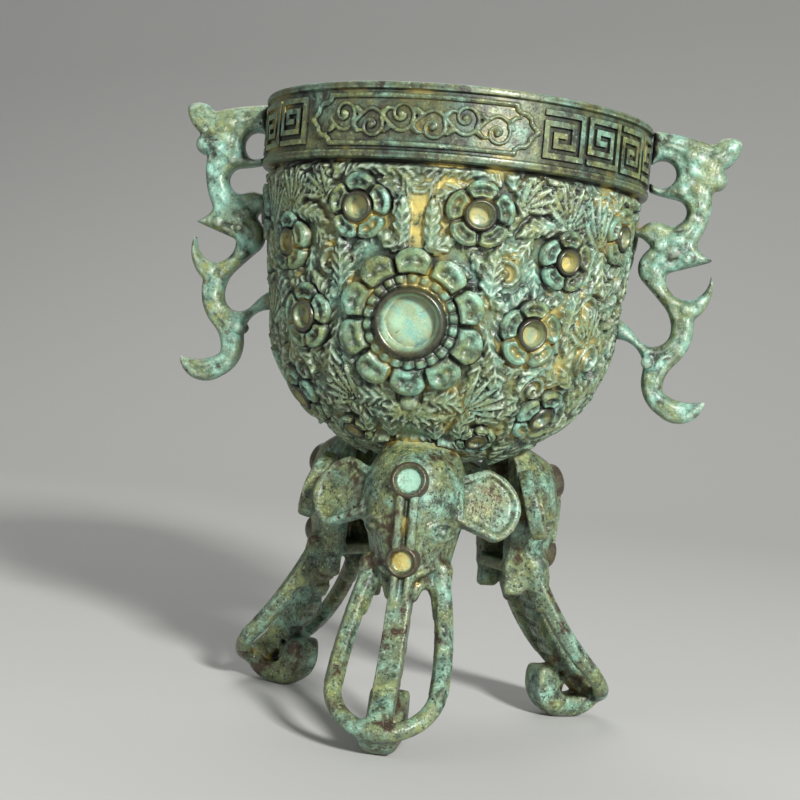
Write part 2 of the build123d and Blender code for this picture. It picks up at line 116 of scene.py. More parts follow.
@dataclass(frozen=True)
class PatinatedBronze:
    """Cast bronze that has turned green: matt copper salts over dark metal that shows where it is worn.

    The eye sees green-black metal under grey-green salts, clouds of turquoise, pale grains on top, pale
    crests that are partly pale salts and partly a painted highlight, hollows darkened with painted shade,
    ochre earth in some of them, and brown, shinier metal along rubbed edges. A thin coat of wax gives soft
    highlights.
    """

    name: str
    dark: str = "#2d3a2d"
    green: str = "#78976f"
    olive: str = "#8f9450"
    turquoise: str = "#8fc9b8"
    # Pale: the pale grains' own colour, and on crests partly a painted highlight.
    pale: str = "#cbdcc2"
    earth: str = "#b9a95f"
    # Near-black of the pits, which also serves as the painted shade in the hollows.
    pit_black_and_painted_shade: str = "#11110d"
    worn: str = "#3d332a"
    cloud_mm: float = 10.0
    patch_mm: float = 2.4
    grit_mm: float = 0.5
    noise_rough: float = 0.58
    turquoise_share: float = 0.65
    olive_share: float = 0.6
    earth_share: float = 0.8
    brown_share: float = 0.25
    pit_share: float = 0.5
    pale_share: float = 0.6
    # Share of the crests' pale, partly pale salts and partly a painted highlight.
    crest_salts_and_highlight_share: float = 0.65
    wear_share: float = 0.7
    # Reach of the openness measure, which also places the ochre earth, then where the painted shade in the
    # hollows starts, how far it spans and its share.
    hollow_mm: float = 2.4
    painted_shade_from: float = 0.94
    painted_shade_span: float = 0.42
    painted_shade_share: float = 0.94
    own_hollows: bool = False
    salts_rough: float = 0.48
    worn_rough: float = 0.3
    worn_metal: float = 0.6
    pit_depth: float = 0.35
    bump_mm: float = 0.22
    bump_strength: float = 0.7
    wax: float = 0.22
    wax_rough: float = 0.26

    def patterns(self, tree: bpy.types.NodeTree) -> dict[str, bpy.types.NodeSocket]:
        """Adds the values that the finish is made of.

        Args:
            tree: The material's nodes.

        Returns:
            Noise, openness, pointiness and the mesh's own shares by name.
        """
        place = add_node(tree, "TexCoord").outputs["Object"]
        values: dict[str, bpy.types.NodeSocket] = {}
        # Noise of five sizes, moved apart so that the layers don't repeat each other.
        for name, size, detail, move in (
                ("wide", self.cloud_mm, 3.0, 0.0), ("drift", self.cloud_mm * 0.8, 3.0, 0.31),
                ("patch", self.patch_mm, 4.0, 0.17), ("other", self.patch_mm * 0.7, 4.0, 0.71),
                ("grit", self.grit_mm, 3.0, 0.53)):
            moved = add_node(tree, "Mapping", {"Vector": place, "Location": (move, move * 0.7, move * 1.3)})
            values[name] = add_node(tree, "TexNoise", {
                "Vector": moved.outputs[0], "Scale": 1 / (size * MM), "Detail": detail,
                "Roughness": self.noise_rough,
            }).outputs["Fac"]
        values["open"] = add_node(tree, "AmbientOcclusion", {"Distance": self.hollow_mm * MM}, samples=8,
                                  only_local=self.own_hollows).outputs["AO"]
        values["point"] = add_node(tree, "NewGeometry").outputs["Pointiness"]
        for name in ("deposit", "rub", "dust"):
            values[name] = add_node(tree, "Attribute", attribute_name=name).outputs["Fac"]
        values["mottle"] = add_node(tree, "Mix", {
            0: 0.45, 2: values["patch"], 3: values["wide"]}).outputs[0]
        return values

    def masks(self, tree: bpy.types.NodeTree, values: dict[str, bpy.types.NodeSocket]) -> None:
        """Turns the patterns into the share of each coat, of the painted shade in the hollows, and of the
        crests' pale, which is partly a painted highlight.

        Args:
            tree: The material's nodes.
            values: The patterns by name, which get the masks added.
        """
        # Each mask stretches a value between two levels, up to its share.
        for name, source, low, high, top in (
                ("salts", "mottle", 0.40, 0.60, 1.0),
                ("olive_clouds", "drift", 0.44, 0.62, 1.0),
                ("olive_patches", "other", 0.36, 0.62, self.olive_share),
                ("blue_clouds", "drift", 0.53, 0.38, 1.0),
                ("blue_patches", "patch", 0.38, 0.62, self.turquoise_share),
                ("grains", "grit", 0.56, 0.70, 1.0),
                ("grain_fields", "other", 0.40, 0.60, self.pale_share),
                ("holes", "grit", 0.44, 0.37, 1.0),
                ("hole_fields", "other", 0.60, 0.46, self.pit_share),
                # Convex crests turn pale: partly pale salts, partly a painted highlight.
                ("edges", "point", 0.505, 0.54, 1.0),
                ("edge_fields", "other", 0.66, 0.36, self.crest_salts_and_highlight_share),
                ("rubbed", "point", 0.515, 0.57, 1.0),
                ("rubbed_fields", "other", 0.44, 0.58, self.wear_share),
                ("bare_clouds", "wide", 0.48, 0.58, 1.0),
                ("bare_patches", "patch", 0.42, 0.56, self.brown_share),
                # Painted shade: darker where the surface is less open to the sky.
                ("shade", "open", self.painted_shade_from, self.painted_shade_from - self.painted_shade_span, self.painted_shade_share),
                ("deep", "open", 0.8, 0.45, 1.0),
                ("earth_clouds", "wide", 0.53, 0.63, self.earth_share),
                ("dust_patches", "patch", 0.36, 0.52, 1.0)):
            values[name] = add_node(tree, "MapRange", {
                0: values[source], 1: low, 2: high, 3: 0.0, 4: top}).outputs[0]
        for name, operation, first, second in (
                ("ochre_green", "MULTIPLY", "olive_clouds", "olive_patches"),
                ("bloom", "MULTIPLY", "blue_clouds", "blue_patches"),
                ("specks", "MULTIPLY", "grains", "grain_fields"),
                ("pits", "MULTIPLY", "holes", "hole_fields"),
                ("crest_salts_and_highlight", "MULTIPLY", "edges", "edge_fields"),
                ("wear", "MULTIPLY", "rubbed", "rubbed_fields"),
                ("bare", "MULTIPLY", "bare_clouds", "bare_patches"),
                ("wear", "MAXIMUM", "wear", "bare"),
                ("wear", "MAXIMUM", "wear", "rub"),
                ("earth", "MULTIPLY", "deep", "earth_clouds"),
                ("dusted", "MULTIPLY", "dust", "dust_patches"),
                ("earth", "MAXIMUM", "earth", "dusted")):
            values[name] = add_node(tree, "Math", {0: values[first], 1: values[second]}, operation=operation,
                                    use_clamp=True).outputs[0]

    def build(self) -> bpy.types.Material:
        """Makes the material's nodes.

        Returns:
            The finished material.
        """
        material = bpy.data.materials.new(self.name)
        material.use_nodes = True
        tree = material.node_tree
        tree.nodes.clear()
        values = self.patterns(tree)
        self.masks(tree, values)
        colour = linear(self.dark)
        # Each coat is mixed over the dark metal in turn. The crests' pale is partly a painted highlight, and
        # the shade's near-black is painted shade in the hollows.
        for share, tint in (
                ("salts", self.green), ("ochre_green", self.olive), ("bloom", self.turquoise),
                ("specks", self.pale), ("pits", self.pit_black_and_painted_shade), ("crest_salts_and_highlight", self.pale),
                ("deposit", self.turquoise), ("wear", self.worn), ("shade", self.pit_black_and_painted_shade),
                ("earth", self.earth)):
            colour = add_node(tree, "Mix", {0: values[share], 6: colour, 7: linear(tint)},
                              data_type="RGBA").outputs[2]

        rough = add_node(tree, "MapRange", {
            0: values["wear"], 1: 0.0, 2: 1.0, 3: self.salts_rough, 4: self.worn_rough}).outputs[0]
        metal = add_node(tree, "Math", {0: values["wear"], 1: self.worn_metal},
                         operation="MULTIPLY").outputs[0]
        relief = add_node(tree, "Mix", {0: 0.4, 2: values["patch"], 3: values["grit"]}).outputs[0]
        relief = add_node(tree, "Math", {0: values["pits"], 1: -self.pit_depth, 2: relief},
                          operation="MULTIPLY_ADD").outputs[0]
        bump = add_node(tree, "Bump", {
            "Strength": self.bump_strength, "Distance": self.bump_mm * MM, "Height": relief})
        shader = add_node(tree, "BsdfPrincipled", {
            "Base Color": colour, "Metallic": metal, "Roughness": rough, "Normal": bump.outputs[0],
            "Coat Weight": self.wax, "Coat Roughness": self.wax_rough,
        })
        add_node(tree, "OutputMaterial", {"Surface": shader.outputs[0]})
        return material


# The bowl's relief shows the most turquoise, with pale crests, partly a painted highlight, over painted shade
# in the hollows.
RELIEF_BRONZE = PatinatedBronze("patinated_cast_bronze_relief")
# The band looks darker and browner, with an even dark ground round the fret and strong painted shade in its
# hollows.
BAND_BRONZE = PatinatedBronze(
    "patinated_cast_bronze_band", turquoise_share=0.4, dark="#2b3128", green="#6f8360", hollow_mm=1.6,
    painted_shade_from=0.97, brown_share=0.6, crest_salts_and_highlight_share=0.0, wear_share=0.0)
# The inside looks dull, with brown metal between the salts.
LINING_BRONZE = PatinatedBronze("patinated_cast_bronze_lining", turquoise_share=0.35, brown_share=0.5)
# The handles look the bluest, on a lumpy skin that is dark along its edges.
HANDLE_BRONZE = PatinatedBronze(
    "patinated_cast_bronze_handles", turquoise_share=0.75, green="#7c9c80", hollow_mm=3.0, bump_mm=0.4,
    wear_share=1.0)
# The legs look olive, with brown patches, many black pits and little wax.
LEG_BRONZE = PatinatedBronze(
    "patinated_cast_bronze_legs", turquoise_share=0.5, pit_share=1.0, cloud_mm=9.0, green="#778b66",
    hollow_mm=3.0, own_hollows=True, bump_mm=0.32, brown_share=0.95, crest_salts_and_highlight_share=0.3, wear_share=1.0,
    worn="#4a3a2f", wax=0.1)


@dataclass(frozen=True)
class MattPaper:
    """Matt coated paper: an even pale grey that takes soft shadows and shows no gloss."""

    name: str = "backdrop_paper"
    colour: str = "#b9b9b5"
    rough: float = 0.9

    def build(self) -> bpy.types.Material:
        """Makes the paper's material.

        Returns:
            The finished material.
        """
        material = bpy.data.materials.new(self.name)
        material.use_nodes = True
        shader = material.node_tree.nodes["Principled BSDF"]
        shader.inputs["Base Color"].default_value = linear(self.colour)
        shader.inputs["Roughness"].default_value = self.rough
        return material


def add_object(name: str, data: bpy.types.ID) -> bpy.types.Object:
    """Makes an object and puts it in the scene.

    Args:
        name: Name of the object.
        data: Its mesh, lamp or camera.

    Returns:
        The new object.
    """
    made = bpy.data.objects.new(name, data)
    bpy.context.scene.collection.objects.link(made)
    return made


def smooth_mesh(name: str, bm: BMesh) -> bpy.types.Mesh:
    """Turns a bmesh into a smooth-shaded mesh.

    Args:
        name: Name of the mesh.
        bm: The bmesh; it is freed.

    Returns:
        The new mesh.
    """
    mesh = bpy.data.meshes.new(name)
    bm.to_mesh(mesh)
    bm.free()
    mesh.polygons.foreach_set("use_smooth", [True] * len(mesh.polygons))
    return mesh


def add_piece(name: str, bm: BMesh, material: bpy.types.Material, nodes: Sequence[str] = (),
              sharp: float | None = None) -> bpy.types.Object:
    """Turns a finished bmesh into a piece of the cup.

    Args:
        name: Name of the piece.
        bm: Mesh in millimetres round the cup's axis; it is freed.
        material: Finish of the piece.
        nodes: Solids that the piece stands for.
        sharp: Angle in degrees above which an edge stays sharp, if any does.

    Returns:
        The new object.
    """
    mesh = smooth_mesh(name, bm)
    mesh.transform(PLACE)
    if sharp is not None:
        mesh.set_sharp_from_angle(angle=math.radians(sharp))
    mesh.materials.append(material)
    piece = add_object(name, mesh)
    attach(piece, BODY)
    if nodes:
        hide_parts(*nodes)
    log.info("%s: %d faces", name, len(mesh.polygons))
    return piece


def solid_copy(*nodes: str) -> BMesh:
    """Copies solids of the frame, merged, in millimetres round the cup's axis.

    Args:
        *nodes: Names of the solids.

    Returns:
        One bmesh that holds them all.
    """
    bm = bmesh.new()
    for node in nodes:
        bm.from_mesh(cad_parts[node].data)
    bmesh.ops.transform(bm, matrix=PLACE.inverted(), verts=bm.verts)
    bmesh.ops.remove_doubles(bm, verts=bm.verts, dist=MERGE_GAP)
    return bm


def cast(bm: BMesh, grain: float, rounds: int) -> BMesh:
    """Melts forms that touch or overlap into one skin with soft edges, as a casting has.

    Args:
        bm: Closed forms in millimetres; it is freed.
        grain: Size of the skin's faces in millimetres.
        rounds: How often the skin is smoothed.

    Returns:
        A new bmesh of the skin.
    """
    mesh = smooth_mesh("mould", bm)
    mould = add_object("mould", mesh)
    skin = mould.modifiers.new("skin", "REMESH")
    skin.mode = "VOXEL"
    skin.voxel_size = grain
    soften = mould.modifiers.new("soften", "SMOOTH")
    soften.factor = 0.5
    soften.iterations = rounds
    ready = mould.evaluated_get(bpy.context.evaluated_depsgraph_get()).to_mesh()
    result = bmesh.new()
    result.from_mesh(ready)
    bpy.data.objects.remove(mould)
    bpy.data.meshes.remove(mesh)
    return result


def turned(profile: Iterable[tuple[float, float]], steps: int, angle: float = math.tau) -> BMesh:
    """Spins a profile about Z.

    Args:
        profile: Radius and height of each point; a radius below zero starts on the other side.
        steps: Number of columns of faces.
        angle: How far the profile spins.

    Returns:
        The turned surface, with closed poles.
    """
    bm = bmesh.new()
    chain = [bm.verts.new((radius, 0.0, height)) for radius, height in profile]
    edges = [bm.edges.new(pair) for pair in zip(chain, chain[1:])]
    bmesh.ops.spin(bm, geom=chain + edges, cent=(0, 0, 0), axis=(0, 0, 1), angle=angle, steps=steps,
                   use_merge=angle == math.tau)
    bmesh.ops.remove_doubles(bm, verts=bm.verts, dist=MERGE_GAP)
    bmesh.ops.recalc_face_normals(bm, faces=bm.faces)
    return bm


def turn_about_axis(bm: BMesh, degrees: float) -> None:
    """Turns a whole bmesh about the cup's axis."""
    bmesh.ops.rotate(bm, verts=bm.verts, cent=(0, 0, 0),
                     matrix=Matrix.Rotation(math.radians(degrees), 3, "Z"))


def add_ball(bm: BMesh, centre: Vector, radius: float, scale: Sequence[float] = (1, 1, 1)) -> None:
    """Adds a ball, or an egg, to a bmesh.

    Args:
        bm: Mesh that gets the ball.
        centre: Its middle.
        radius: Its radius before scaling.
        scale: Stretch along X, Y and Z.
    """
    matrix = Matrix.Translation(centre) @ Matrix.Diagonal((*scale, 1.0))
    bmesh.ops.create_uvsphere(bm, u_segments=20, v_segments=12, radius=radius, matrix=matrix)


def add_rod(bm: BMesh, points: Sequence[Vector], radius: float, tip: float | None = None) -> None:
    """Adds a row of overlapping balls that a casting melts into a rounded rod.

    Args:
        bm: Mesh that gets the rod.
        points: Corners of the rod's middle line.
        radius: Radius at the first point.
        tip: Radius at the last point, if it tapers.
    """
    runs = list(zip(points, points[1:]))
    total = sum((b - a).length for a, b in runs)
    end = radius if tip is None else tip
    done = 0.0
    for a, b in runs:
        length = (b - a).length
        count = max(1, round(length / (min(radius, end) * ROD_STEP)))
        for step in range(count + 1):
            share = step / count
            thick = radius + (end - radius) * (done + share * length) / total
            bmesh.ops.create_icosphere(bm, subdivisions=1 if thick < SMALL_BALL else 2, radius=thick,
                                       matrix=Matrix.Translation(a.lerp(b, share)))
        done += length


@dataclass(frozen=True)
class BowlForm:
    """The bowl's outside without relief: half an ellipse and a flared wall, seen as a meridian."""

    belly_radius: float = 34.8
    belly_depth: float = 31.0
    belly_level: float = 84.0
    flare: float = 6.0
    top: float = 110.6
    belly_samples: int = 600
    wall_samples: int = 60

    @cached_property
    def meridian(self) -> np.ndarray:
        """Samples the bowl's outline from the bottom up.

        Returns:
            Columns of arc length, radius, level and the two parts of the outward normal.
        """
        lean = math.radians(self.flare)
        stop = math.atan(math.tan(lean) * self.belly_depth / self.belly_radius)
        angle = np.linspace(-math.pi / 2, -stop, self.belly_samples)
        radius = self.belly_radius * np.cos(angle)
        level = self.belly_level + self.belly_depth * np.sin(angle)
        out = np.cos(angle) / self.belly_radius
        down = np.sin(angle) / self.belly_depth
        size = np.hypot(out, down)
        rise = np.linspace(level[-1], self.top, self.wall_samples)[1:]
        radius = np.concatenate([radius, radius[-1] + (rise - level[-1]) * math.tan(lean)])
        level = np.concatenate([level, rise])
        out = np.concatenate([out / size, np.full(rise.size, math.cos(lean))])
        down = np.concatenate([down / size, np.full(rise.size, -math.sin(lean))])
        length = np.concatenate([[0.0], np.cumsum(np.hypot(np.diff(radius), np.diff(level)))])
        return np.stack([length, radius, level, out, down], axis=1)

    def lengths_at(self, levels: np.ndarray) -> np.ndarray:
        """Arc lengths from the bottom to some levels."""
        return np.interp(levels, self.meridian[:, 2], self.meridian[:, 0])

    def arc_at(self, level: float) -> float:
        """Arc length from the bottom to one level."""
        return float(self.lengths_at(level))

    def radius_at(self, length: float | np.ndarray) -> np.ndarray:
        """Radius at an arc length."""
        return np.interp(length, self.meridian[:, 0], self.meridian[:, 1])

    def level_at(self, length: float | np.ndarray) -> np.ndarray:
        """Level at an arc length."""
        return np.interp(length, self.meridian[:, 0], self.meridian[:, 2])

    def wrap(self, turn: np.ndarray, length: np.ndarray, height: np.ndarray) -> np.ndarray:
        """Places points on the bowl.

        Args:
            turn: Degrees from the front, to the right.
            length: Arc length from the bottom of the bowl.
            height: Height over the surface.

        Returns:
            One row of coordinates for each point.
        """
        arc, _, _, out, down = self.meridian.T
        radius = self.radius_at(length) + np.interp(length, arc, out) * height
        level = self.level_at(length) + np.interp(length, arc, down) * height
        angle = np.radians(turn)
        return np.stack([radius * np.sin(angle), -radius * np.cos(angle), level], axis=1)


BOWL = BowlForm()
ORNAMENT_TURN = -2.8


def mesh_points(bm: BMesh) -> np.ndarray:
    """Coordinates of a bmesh's vertices, one row each."""
    return np.array([v.co for v in bm.verts])


def move_points(bm: BMesh, points: np.ndarray) -> None:
    """Moves a bmesh's vertices to new coordinates, in their order."""
    for vertex, point in zip(bm.verts, points):
        vertex.co = point


def set_shares(bm: BMesh, **shares: np.ndarray) -> None:
    """Stores values for each vertex, for the finish to read.

    Args:
        bm: Mesh that gets the values.
        **shares: For each name, one value for each vertex, in their order.
    """
    for name, values in shares.items():
        layer = bm.verts.layers.float.new(name)
        for vertex, value in zip(bm.verts, values):
            vertex[layer] = value


def smoothstep(low: float, high: float, value: np.ndarray) -> np.ndarray:
    """Soft step from zero at low to one at high."""
    share = np.clip((value - low) / (high - low), 0.0, 1.0)
    return share * share * (3 - 2 * share)


@dataclass(frozen=True)
class Leaf:
    """One feathered leaf of the relief, on the folded half face of the bowl."""

    turn: float
    arc: float
    heading: float
    length: float
    width: float
    height: float
    bend: float = 0.0
    anchor: float = 0.5
    veins: float = 0.3
    vein_pitch: float = 2.0
    rib_width: float = 0.35

    def shape(self, turn: np.ndarray, arc: np.ndarray, radius: np.ndarray) -> np.ndarray:
        """Height of the leaf at points of the folded half face.

        Args:
            turn: Folded turn of the points in degrees.
            arc: Arc length of the points.
            radius: Radius of the bowl at the points.

        Returns:
            Height over the ground, zero outside the leaf.
        """
        x = np.radians(turn - self.turn) * radius
        y = arc - self.arc
        cos, sin = math.cos(math.radians(self.heading)), math.sin(math.radians(self.heading))
        along = (x * cos + y * sin) / self.length + self.anchor
        inner = np.clip(along, 0, 1)
        across = np.abs(-x * sin + y * cos - self.bend * (along - 0.5) ** 2 * self.length ** 2)
        lobes = 1 + self.veins * 0.45 * np.cos(math.tau * along * self.length / self.vein_pitch)
        half = self.width * np.sin(math.pi * inner ** 0.8) ** 0.75 * lobes
        inside = (along > 0) & (along < 1) & (across < half)
        share = np.where(inside, across / np.maximum(half, 1e-6), 1.0)
        edge = np.sqrt(np.clip(1 - share ** 6, 0, 1))
        veins = np.cos(math.tau * (along * self.length - across) / self.vein_pitch)
        rib = np.exp(-(across / self.rib_width) ** 2)
        shape = self.height * (0.75 + 0.25 * inner) + self.veins * (veins * (1 - rib) + rib)
        return np.where(inside, np.maximum(shape * edge, 0.0), 0.0)

    def lay(self, total: np.ndarray, turn: np.ndarray, arc: np.ndarray, radius: np.ndarray,
            over: bool) -> None:
        """Lays the leaf on the relief.

        Args:
            total: Height of the relief at the points, which is changed.
            turn: Folded turn of the points in degrees.
            arc: Arc length of the points.
            radius: Radius of the bowl at the points.
            over: Whether the leaf covers what is there, or shows only where it is higher.
        """
        near = np.abs(arc - self.arc) < self.length
        near &= np.abs(np.radians(turn - self.turn) * radius) < self.length
        shape = self.shape(turn[near], arc[near], radius[near])
        shown = shape > (0 if over else total[near])
        total[near] = np.where(shown, shape, total[near])


@dataclass(frozen=True)
class Flower:
    """A cast flower: a lobed disc with dished petals round an empty socket."""

    petals: int
    reach: float
    socket: float
    rim: float = 1.4
    valley: float = 0.74
    petal_height: float = 1.7
    petal_lip: float = 0.45
    petal_dish: float = 0.55
    petal_rib: float = 0.2
    socket_height: float = 2.5
    floor_height: float = 0.35
    floor_rise: float = 0.3
    dust: float = 0.9
    root: float = 0.9
    beads: int = 0
    bead_height: float = 1.5
    bead_foot: float = 0.5
    petal_start: float = 0.0
    columns: int = 120
    rings: int = 18

    @property
    def inner(self) -> float:
        """Radius just outside the socket's ring."""
        return self.socket * 1.03

    def profile(self) -> list[tuple[float, float]]:
        """Draws half of the flower's section before the petals are shaped.

        Returns:
            Radius and height of the rings from the socket's middle to the petals' feet.
        """
        seat = self.socket - self.rim
        rings = [(seat * share, self.floor_height + self.floor_rise * share ** 2)
                 for share in np.linspace(0, 0.96, 9)]
        low, high = self.floor_height + self.floor_rise, self.petal_height * 0.6
        for share in np.linspace(0.0, 1.0, 13):
            lift = math.sin(math.pi * share) ** 0.5
            foot = low + share * (high - low)
            rings.append((seat + share * self.rim, foot + (self.socket_height - foot) * lift))
        for share in np.linspace(0.0, 1.0, self.rings)[1:]:
            rings.append((self.inner + share * (self.reach - self.inner), self.petal_height))
        rings.append((self.reach * 1.004, -self.root))
        return rings

    def build(self) -> tuple[BMesh, np.ndarray, np.ndarray]:
        """Shapes the flower flat, with X across, Y up and Z out.

        Returns:
            The flat flower and, for each vertex, how far it lies in the socket and on the socket's ring.
        """
        bm = turned(self.profile(), self.columns)
        points = mesh_points(bm)
        radius = np.hypot(points[:, 0], points[:, 1])
        turn = np.arctan2(points[:, 1], points[:, 0])
        angle = turn - math.pi / 2
        inner = self.inner
        start = self.petal_start or inner
        phase = (angle * self.petals / math.tau + 0.5) % 1.0 * 2 - 1
        edge = self.reach * (self.valley + (1 - self.valley) * np.sqrt(1 - 0.97 * phase ** 2))
        share = np.clip((radius - start) / (self.reach - start), 0.0, 1.0)
        outer = start + share * (edge - start) + np.maximum(radius - self.reach, 0)
        spread = np.where(radius > start, outer, radius)
        # The lip, the dish and the ribs follow the distance from a petal's border.
        side = (1 - np.abs(phase)) * radius * math.pi / self.petals
        thick = self.reach * 0.05 + 0.4
        border = np.minimum(side + 0.2, (1 - share) * (edge - start))
        border = np.minimum(border, share * (edge - start) + 0.5)
        lip = self.petal_lip * np.exp(-((border - thick) / (thick * 0.75)) ** 2)
        dish = self.petal_dish * smoothstep(thick * 1.2, thick * 2.8, border)
        ribs = self.petal_rib * np.cos(phase * 11.0) * smoothstep(thick, thick * 2.2, border)
        crease = smoothstep(0.0, 0.7, side + share * 0.1)
        petal = self.petal_height * (0.2 + 0.8 * crease) + lip - dish + ribs
        if self.beads:
            across = np.clip((radius - inner) / (start - inner), 0.0, 1.0)
            lobe = 0.35 + 0.65 * np.abs(np.cos(angle * self.beads / 2)) ** 0.7
            swell = smoothstep(1.0, 0.75, across) * smoothstep(-0.1, 0.25, across) * lobe
            petal = np.where(radius < start, self.bead_foot + self.bead_height * swell, petal)
        petals = (radius > inner) & (points[:, 2] > 0)
        height = np.where(petals, petal, points[:, 2])
        move_points(bm, np.stack([spread * np.cos(turn), spread * np.sin(turn), height], axis=1))
        seat = smoothstep(self.socket - self.rim * 0.5, self.socket - self.rim * 1.2, radius)
        ring = smoothstep(self.socket - self.rim, self.socket - self.rim * 0.6, radius)
        return bm, seat, ring * (radius < inner * 1.02)


ROSETTE = Flower(petals=10, reach=13.8, socket=6.7, rim=1.9, petal_height=2.2, socket_height=2.9,
                 floor_height=0.25, dust=0.3, beads=22, petal_start=9.2, columns=288, rings=32)
BLOSSOM = Flower(petals=5, reach=6.4, socket=3.2, dust=0.6, columns=110)
SMALL_BLOSSOM = Flower(petals=5, reach=5.9, socket=2.8, rim=1.3, columns=100)
BUD = Flower(petals=6, reach=3.8, socket=2.3, rim=1.1, petal_height=1.3, socket_height=1.9, columns=80)


@dataclass(frozen=True)
class FlowerPlace:
    """Where a flower and its mirror image stand on a face of the bowl."""

    name: str
    form: Flower
    turn: float
    level: float
    leaves: int
    noded: bool = False
    front_only: bool = False

    def gap(self, x: float | np.ndarray, arc: float | np.ndarray, radius: float | np.ndarray) -> np.ndarray:
        """Distance from the flower's middle to points at a way across and an arc length."""
        return np.hypot(x - math.radians(self.turn) * radius, arc - BOWL.arc_at(self.level))


FLOWERS = (
    FlowerPlace("rosette", ROSETTE, 0.0, 81.0, 16, noded=True),
    FlowerPlace("upper", BLOSSOM, 17.7, 101.7, 7, noded=True),
    FlowerPlace("side", BLOSSOM, 37.9, 80.8, 7, noded=True),
    FlowerPlace("shoulder", SMALL_BLOSSOM, 46.7, 95.0, 7),
    FlowerPlace("handle_side", SMALL_BLOSSOM, 71.5, 101.5, 7),
    FlowerPlace("low", SMALL_BLOSSOM, 54.9, 65.8, 7, front_only=True),
    FlowerPlace("bud", BUD, 32.0, 60.2, 0, front_only=True),
)


class Faces(Enum):
    """The two decorated faces of the bowl and their turn from the front."""

    FRONT = 0.0
    BACK = 180.0


@dataclass
class BowlOrnament:
    """The bowl's relief: flowers on a ground of feathered leaves, fronds, tendrils and a bead.

    Places on a face are a turn from its middle and a level. A fan adds its middle heading, its spread, its
    count of fronds and their length. A curl adds its radius and its hand. A leaf of the tuft has a turn and a
    heading, and they all share a length, a half width, a height and a bend. A filler leaf's sizes lie between
    two values. A dusty spot is a distance across, a level and a radius.
    """

    material: bpy.types.Material
    columns: int = 430
    row: float = 0.34
    ground_bottom: float = 54.6
    ground_top: float = 110.4
    seed: int = 11
    leaf_length: float = 9.4
    leaf_width: float = 5.0
    leaf_height: float = 1.7
    leaf_gap: float = 0.6
    leaf_spacing: float = 9.0
    leaf_swirl: float = 35.0
    leaf_turn: float = 76.0
    leaf_bottom: float = 66.6
    leaf_top: float = 106.0
    filler_spacing: float = 5.0
    filler_bottom: float = 56.5
    filler_top: float = 109.5
    filler_drift: float = 0.7
    filler_overlap: float = 0.25
    filler_swirl: float = 58.0
    filler_sway: float = 16.0
    filler_length: tuple[float, float] = (6.5, 9.0)
    filler_width: tuple[float, float] = (1.5, 2.1)
    filler_height: tuple[float, float] = (0.5, 1.6)
    filler_bend: float = 0.04
    tuft: tuple[tuple[float, float], ...] = ((3.0, -18.0), (2.4, -48.0), (1.4, -78.0), (3.4, 20.0))
    tuft_level: float = 64.5
    tuft_leaf: tuple[float, float, float, float] = (8.5, 1.5, 1.35, 0.01)
    frond_width: float = 0.85
    frond_height: float = 1.6
    fans: tuple[tuple[float, float, float, float, int, float], ...] = (
        (45.0, 101.0, 80.0, 120.0, 8, 9.0), (29.0, 104.0, 35.0, 80.0, 5, 7.5),
        (59.5, 97.0, 95.0, 70.0, 6, 12.5), (62.0, 79.0, 110.0, 90.0, 6, 9.0),
        (20.0, 66.0, 35.0, 90.0, 6, 9.0))
    pod_turn: float = 4.2
    pod_level: float = 99.6
    pod_length: float = 9.6
    pod_width: float = 1.9
    pod_height: float = 1.6
    pod_veins: float = 0.25
    pod_gap: tuple[float, float] = (1.3, 5.0)
    curls: tuple[tuple[float, float, float, int], ...] = (
        (27.5, 91.0, 3.6, 1), (60.0, 86.0, 3.9, -1), (22.5, 68.5, 3.4, -1), (83.0, 92.0, 3.8, 1),
        (60.0, 106.2, 3.0, 1), (81.0, 68.0, 3.8, -1), (45.0, 70.5, 3.2, 1), (67.0, 77.0, 3.9, 1),
        (85.0, 80.0, 3.4, -1), (36.0, 105.5, 2.6, -1))
    curl_turns: float = 1.7
    curl_width: float = 0.6
    curl_foot: float = 0.25
    curl_height: float = 1.3
    bead_level: float = 66.0
    bead_radius: float = 2.0
    bead_height: float = 1.9
    dusty: tuple[tuple[float, float, float], ...] = (
        (0.5, 100.0, 8.0), (26.0, 74.0, 9.0), (6.0, 64.0, 7.0), (33.0, 88.0, 8.0), (-30.0, 90.0, 5.0),
        (5.0, 108.0, 6.0))
    seat_deposit: float = 0.6
    ring_rub: float = 0.85

    def apart(self, first: Sequence[float], second: Sequence[float]) -> float:
        """Measures how far two places on the plain bowl lie from each other.

        Args:
            first: Turn and level of one place.
            second: Turn and level of the other.

        Returns:
            The straight distance.
        """
        turns, levels = np.array([first, second]).T
        a, b = BOWL.wrap(turns, BOWL.lengths_at(levels), np.zeros(2))
        return float(np.linalg.norm(a - b))

    def main_leaves(self) -> list[Leaf]:
        """Lays the large leaves in rings round the flowers where there is room, as the solid bowl has them.

        Returns:
            The leaves on the right half of a face.
        """
        ringed = [place for place in FLOWERS if place.leaves]
        others = [(p.turn, p.level, p.form.reach) for p in ringed]
        others += [(-turn, level, reach) for turn, level, reach in others[1:]]
        found: list[tuple[float, float, float]] = []
        for flower in ringed:
            radius = float(BOWL.radius_at(BOWL.arc_at(flower.level)))
            ring = flower.form.reach + self.leaf_gap + self.leaf_width / 2
            for step in range(flower.leaves):
                angle = (step + 0.5) * math.tau / flower.leaves
                turn = flower.turn + math.degrees(ring * math.cos(angle) / radius)
                here = turn, flower.level + ring * math.sin(angle)
                inside = self.leaf_spacing / 2 < math.radians(turn) * radius and turn < self.leaf_turn
                inside = inside and self.leaf_bottom < here[1] < self.leaf_top
                clear = all(self.apart(here, (t, z)) >= reach + self.leaf_width / 2 for t, z, reach in others)
                roomy = all(self.apart(here, (t, z)) > self.leaf_spacing for t, z, _ in found)
                if inside and clear and roomy:
                    found.append((*here, math.degrees(angle) + 90 - self.leaf_swirl))
        return [Leaf(turn, BOWL.arc_at(level), heading, self.leaf_length, self.leaf_width / 2,
                     self.leaf_height, anchor=0.4) for turn, level, heading in found]

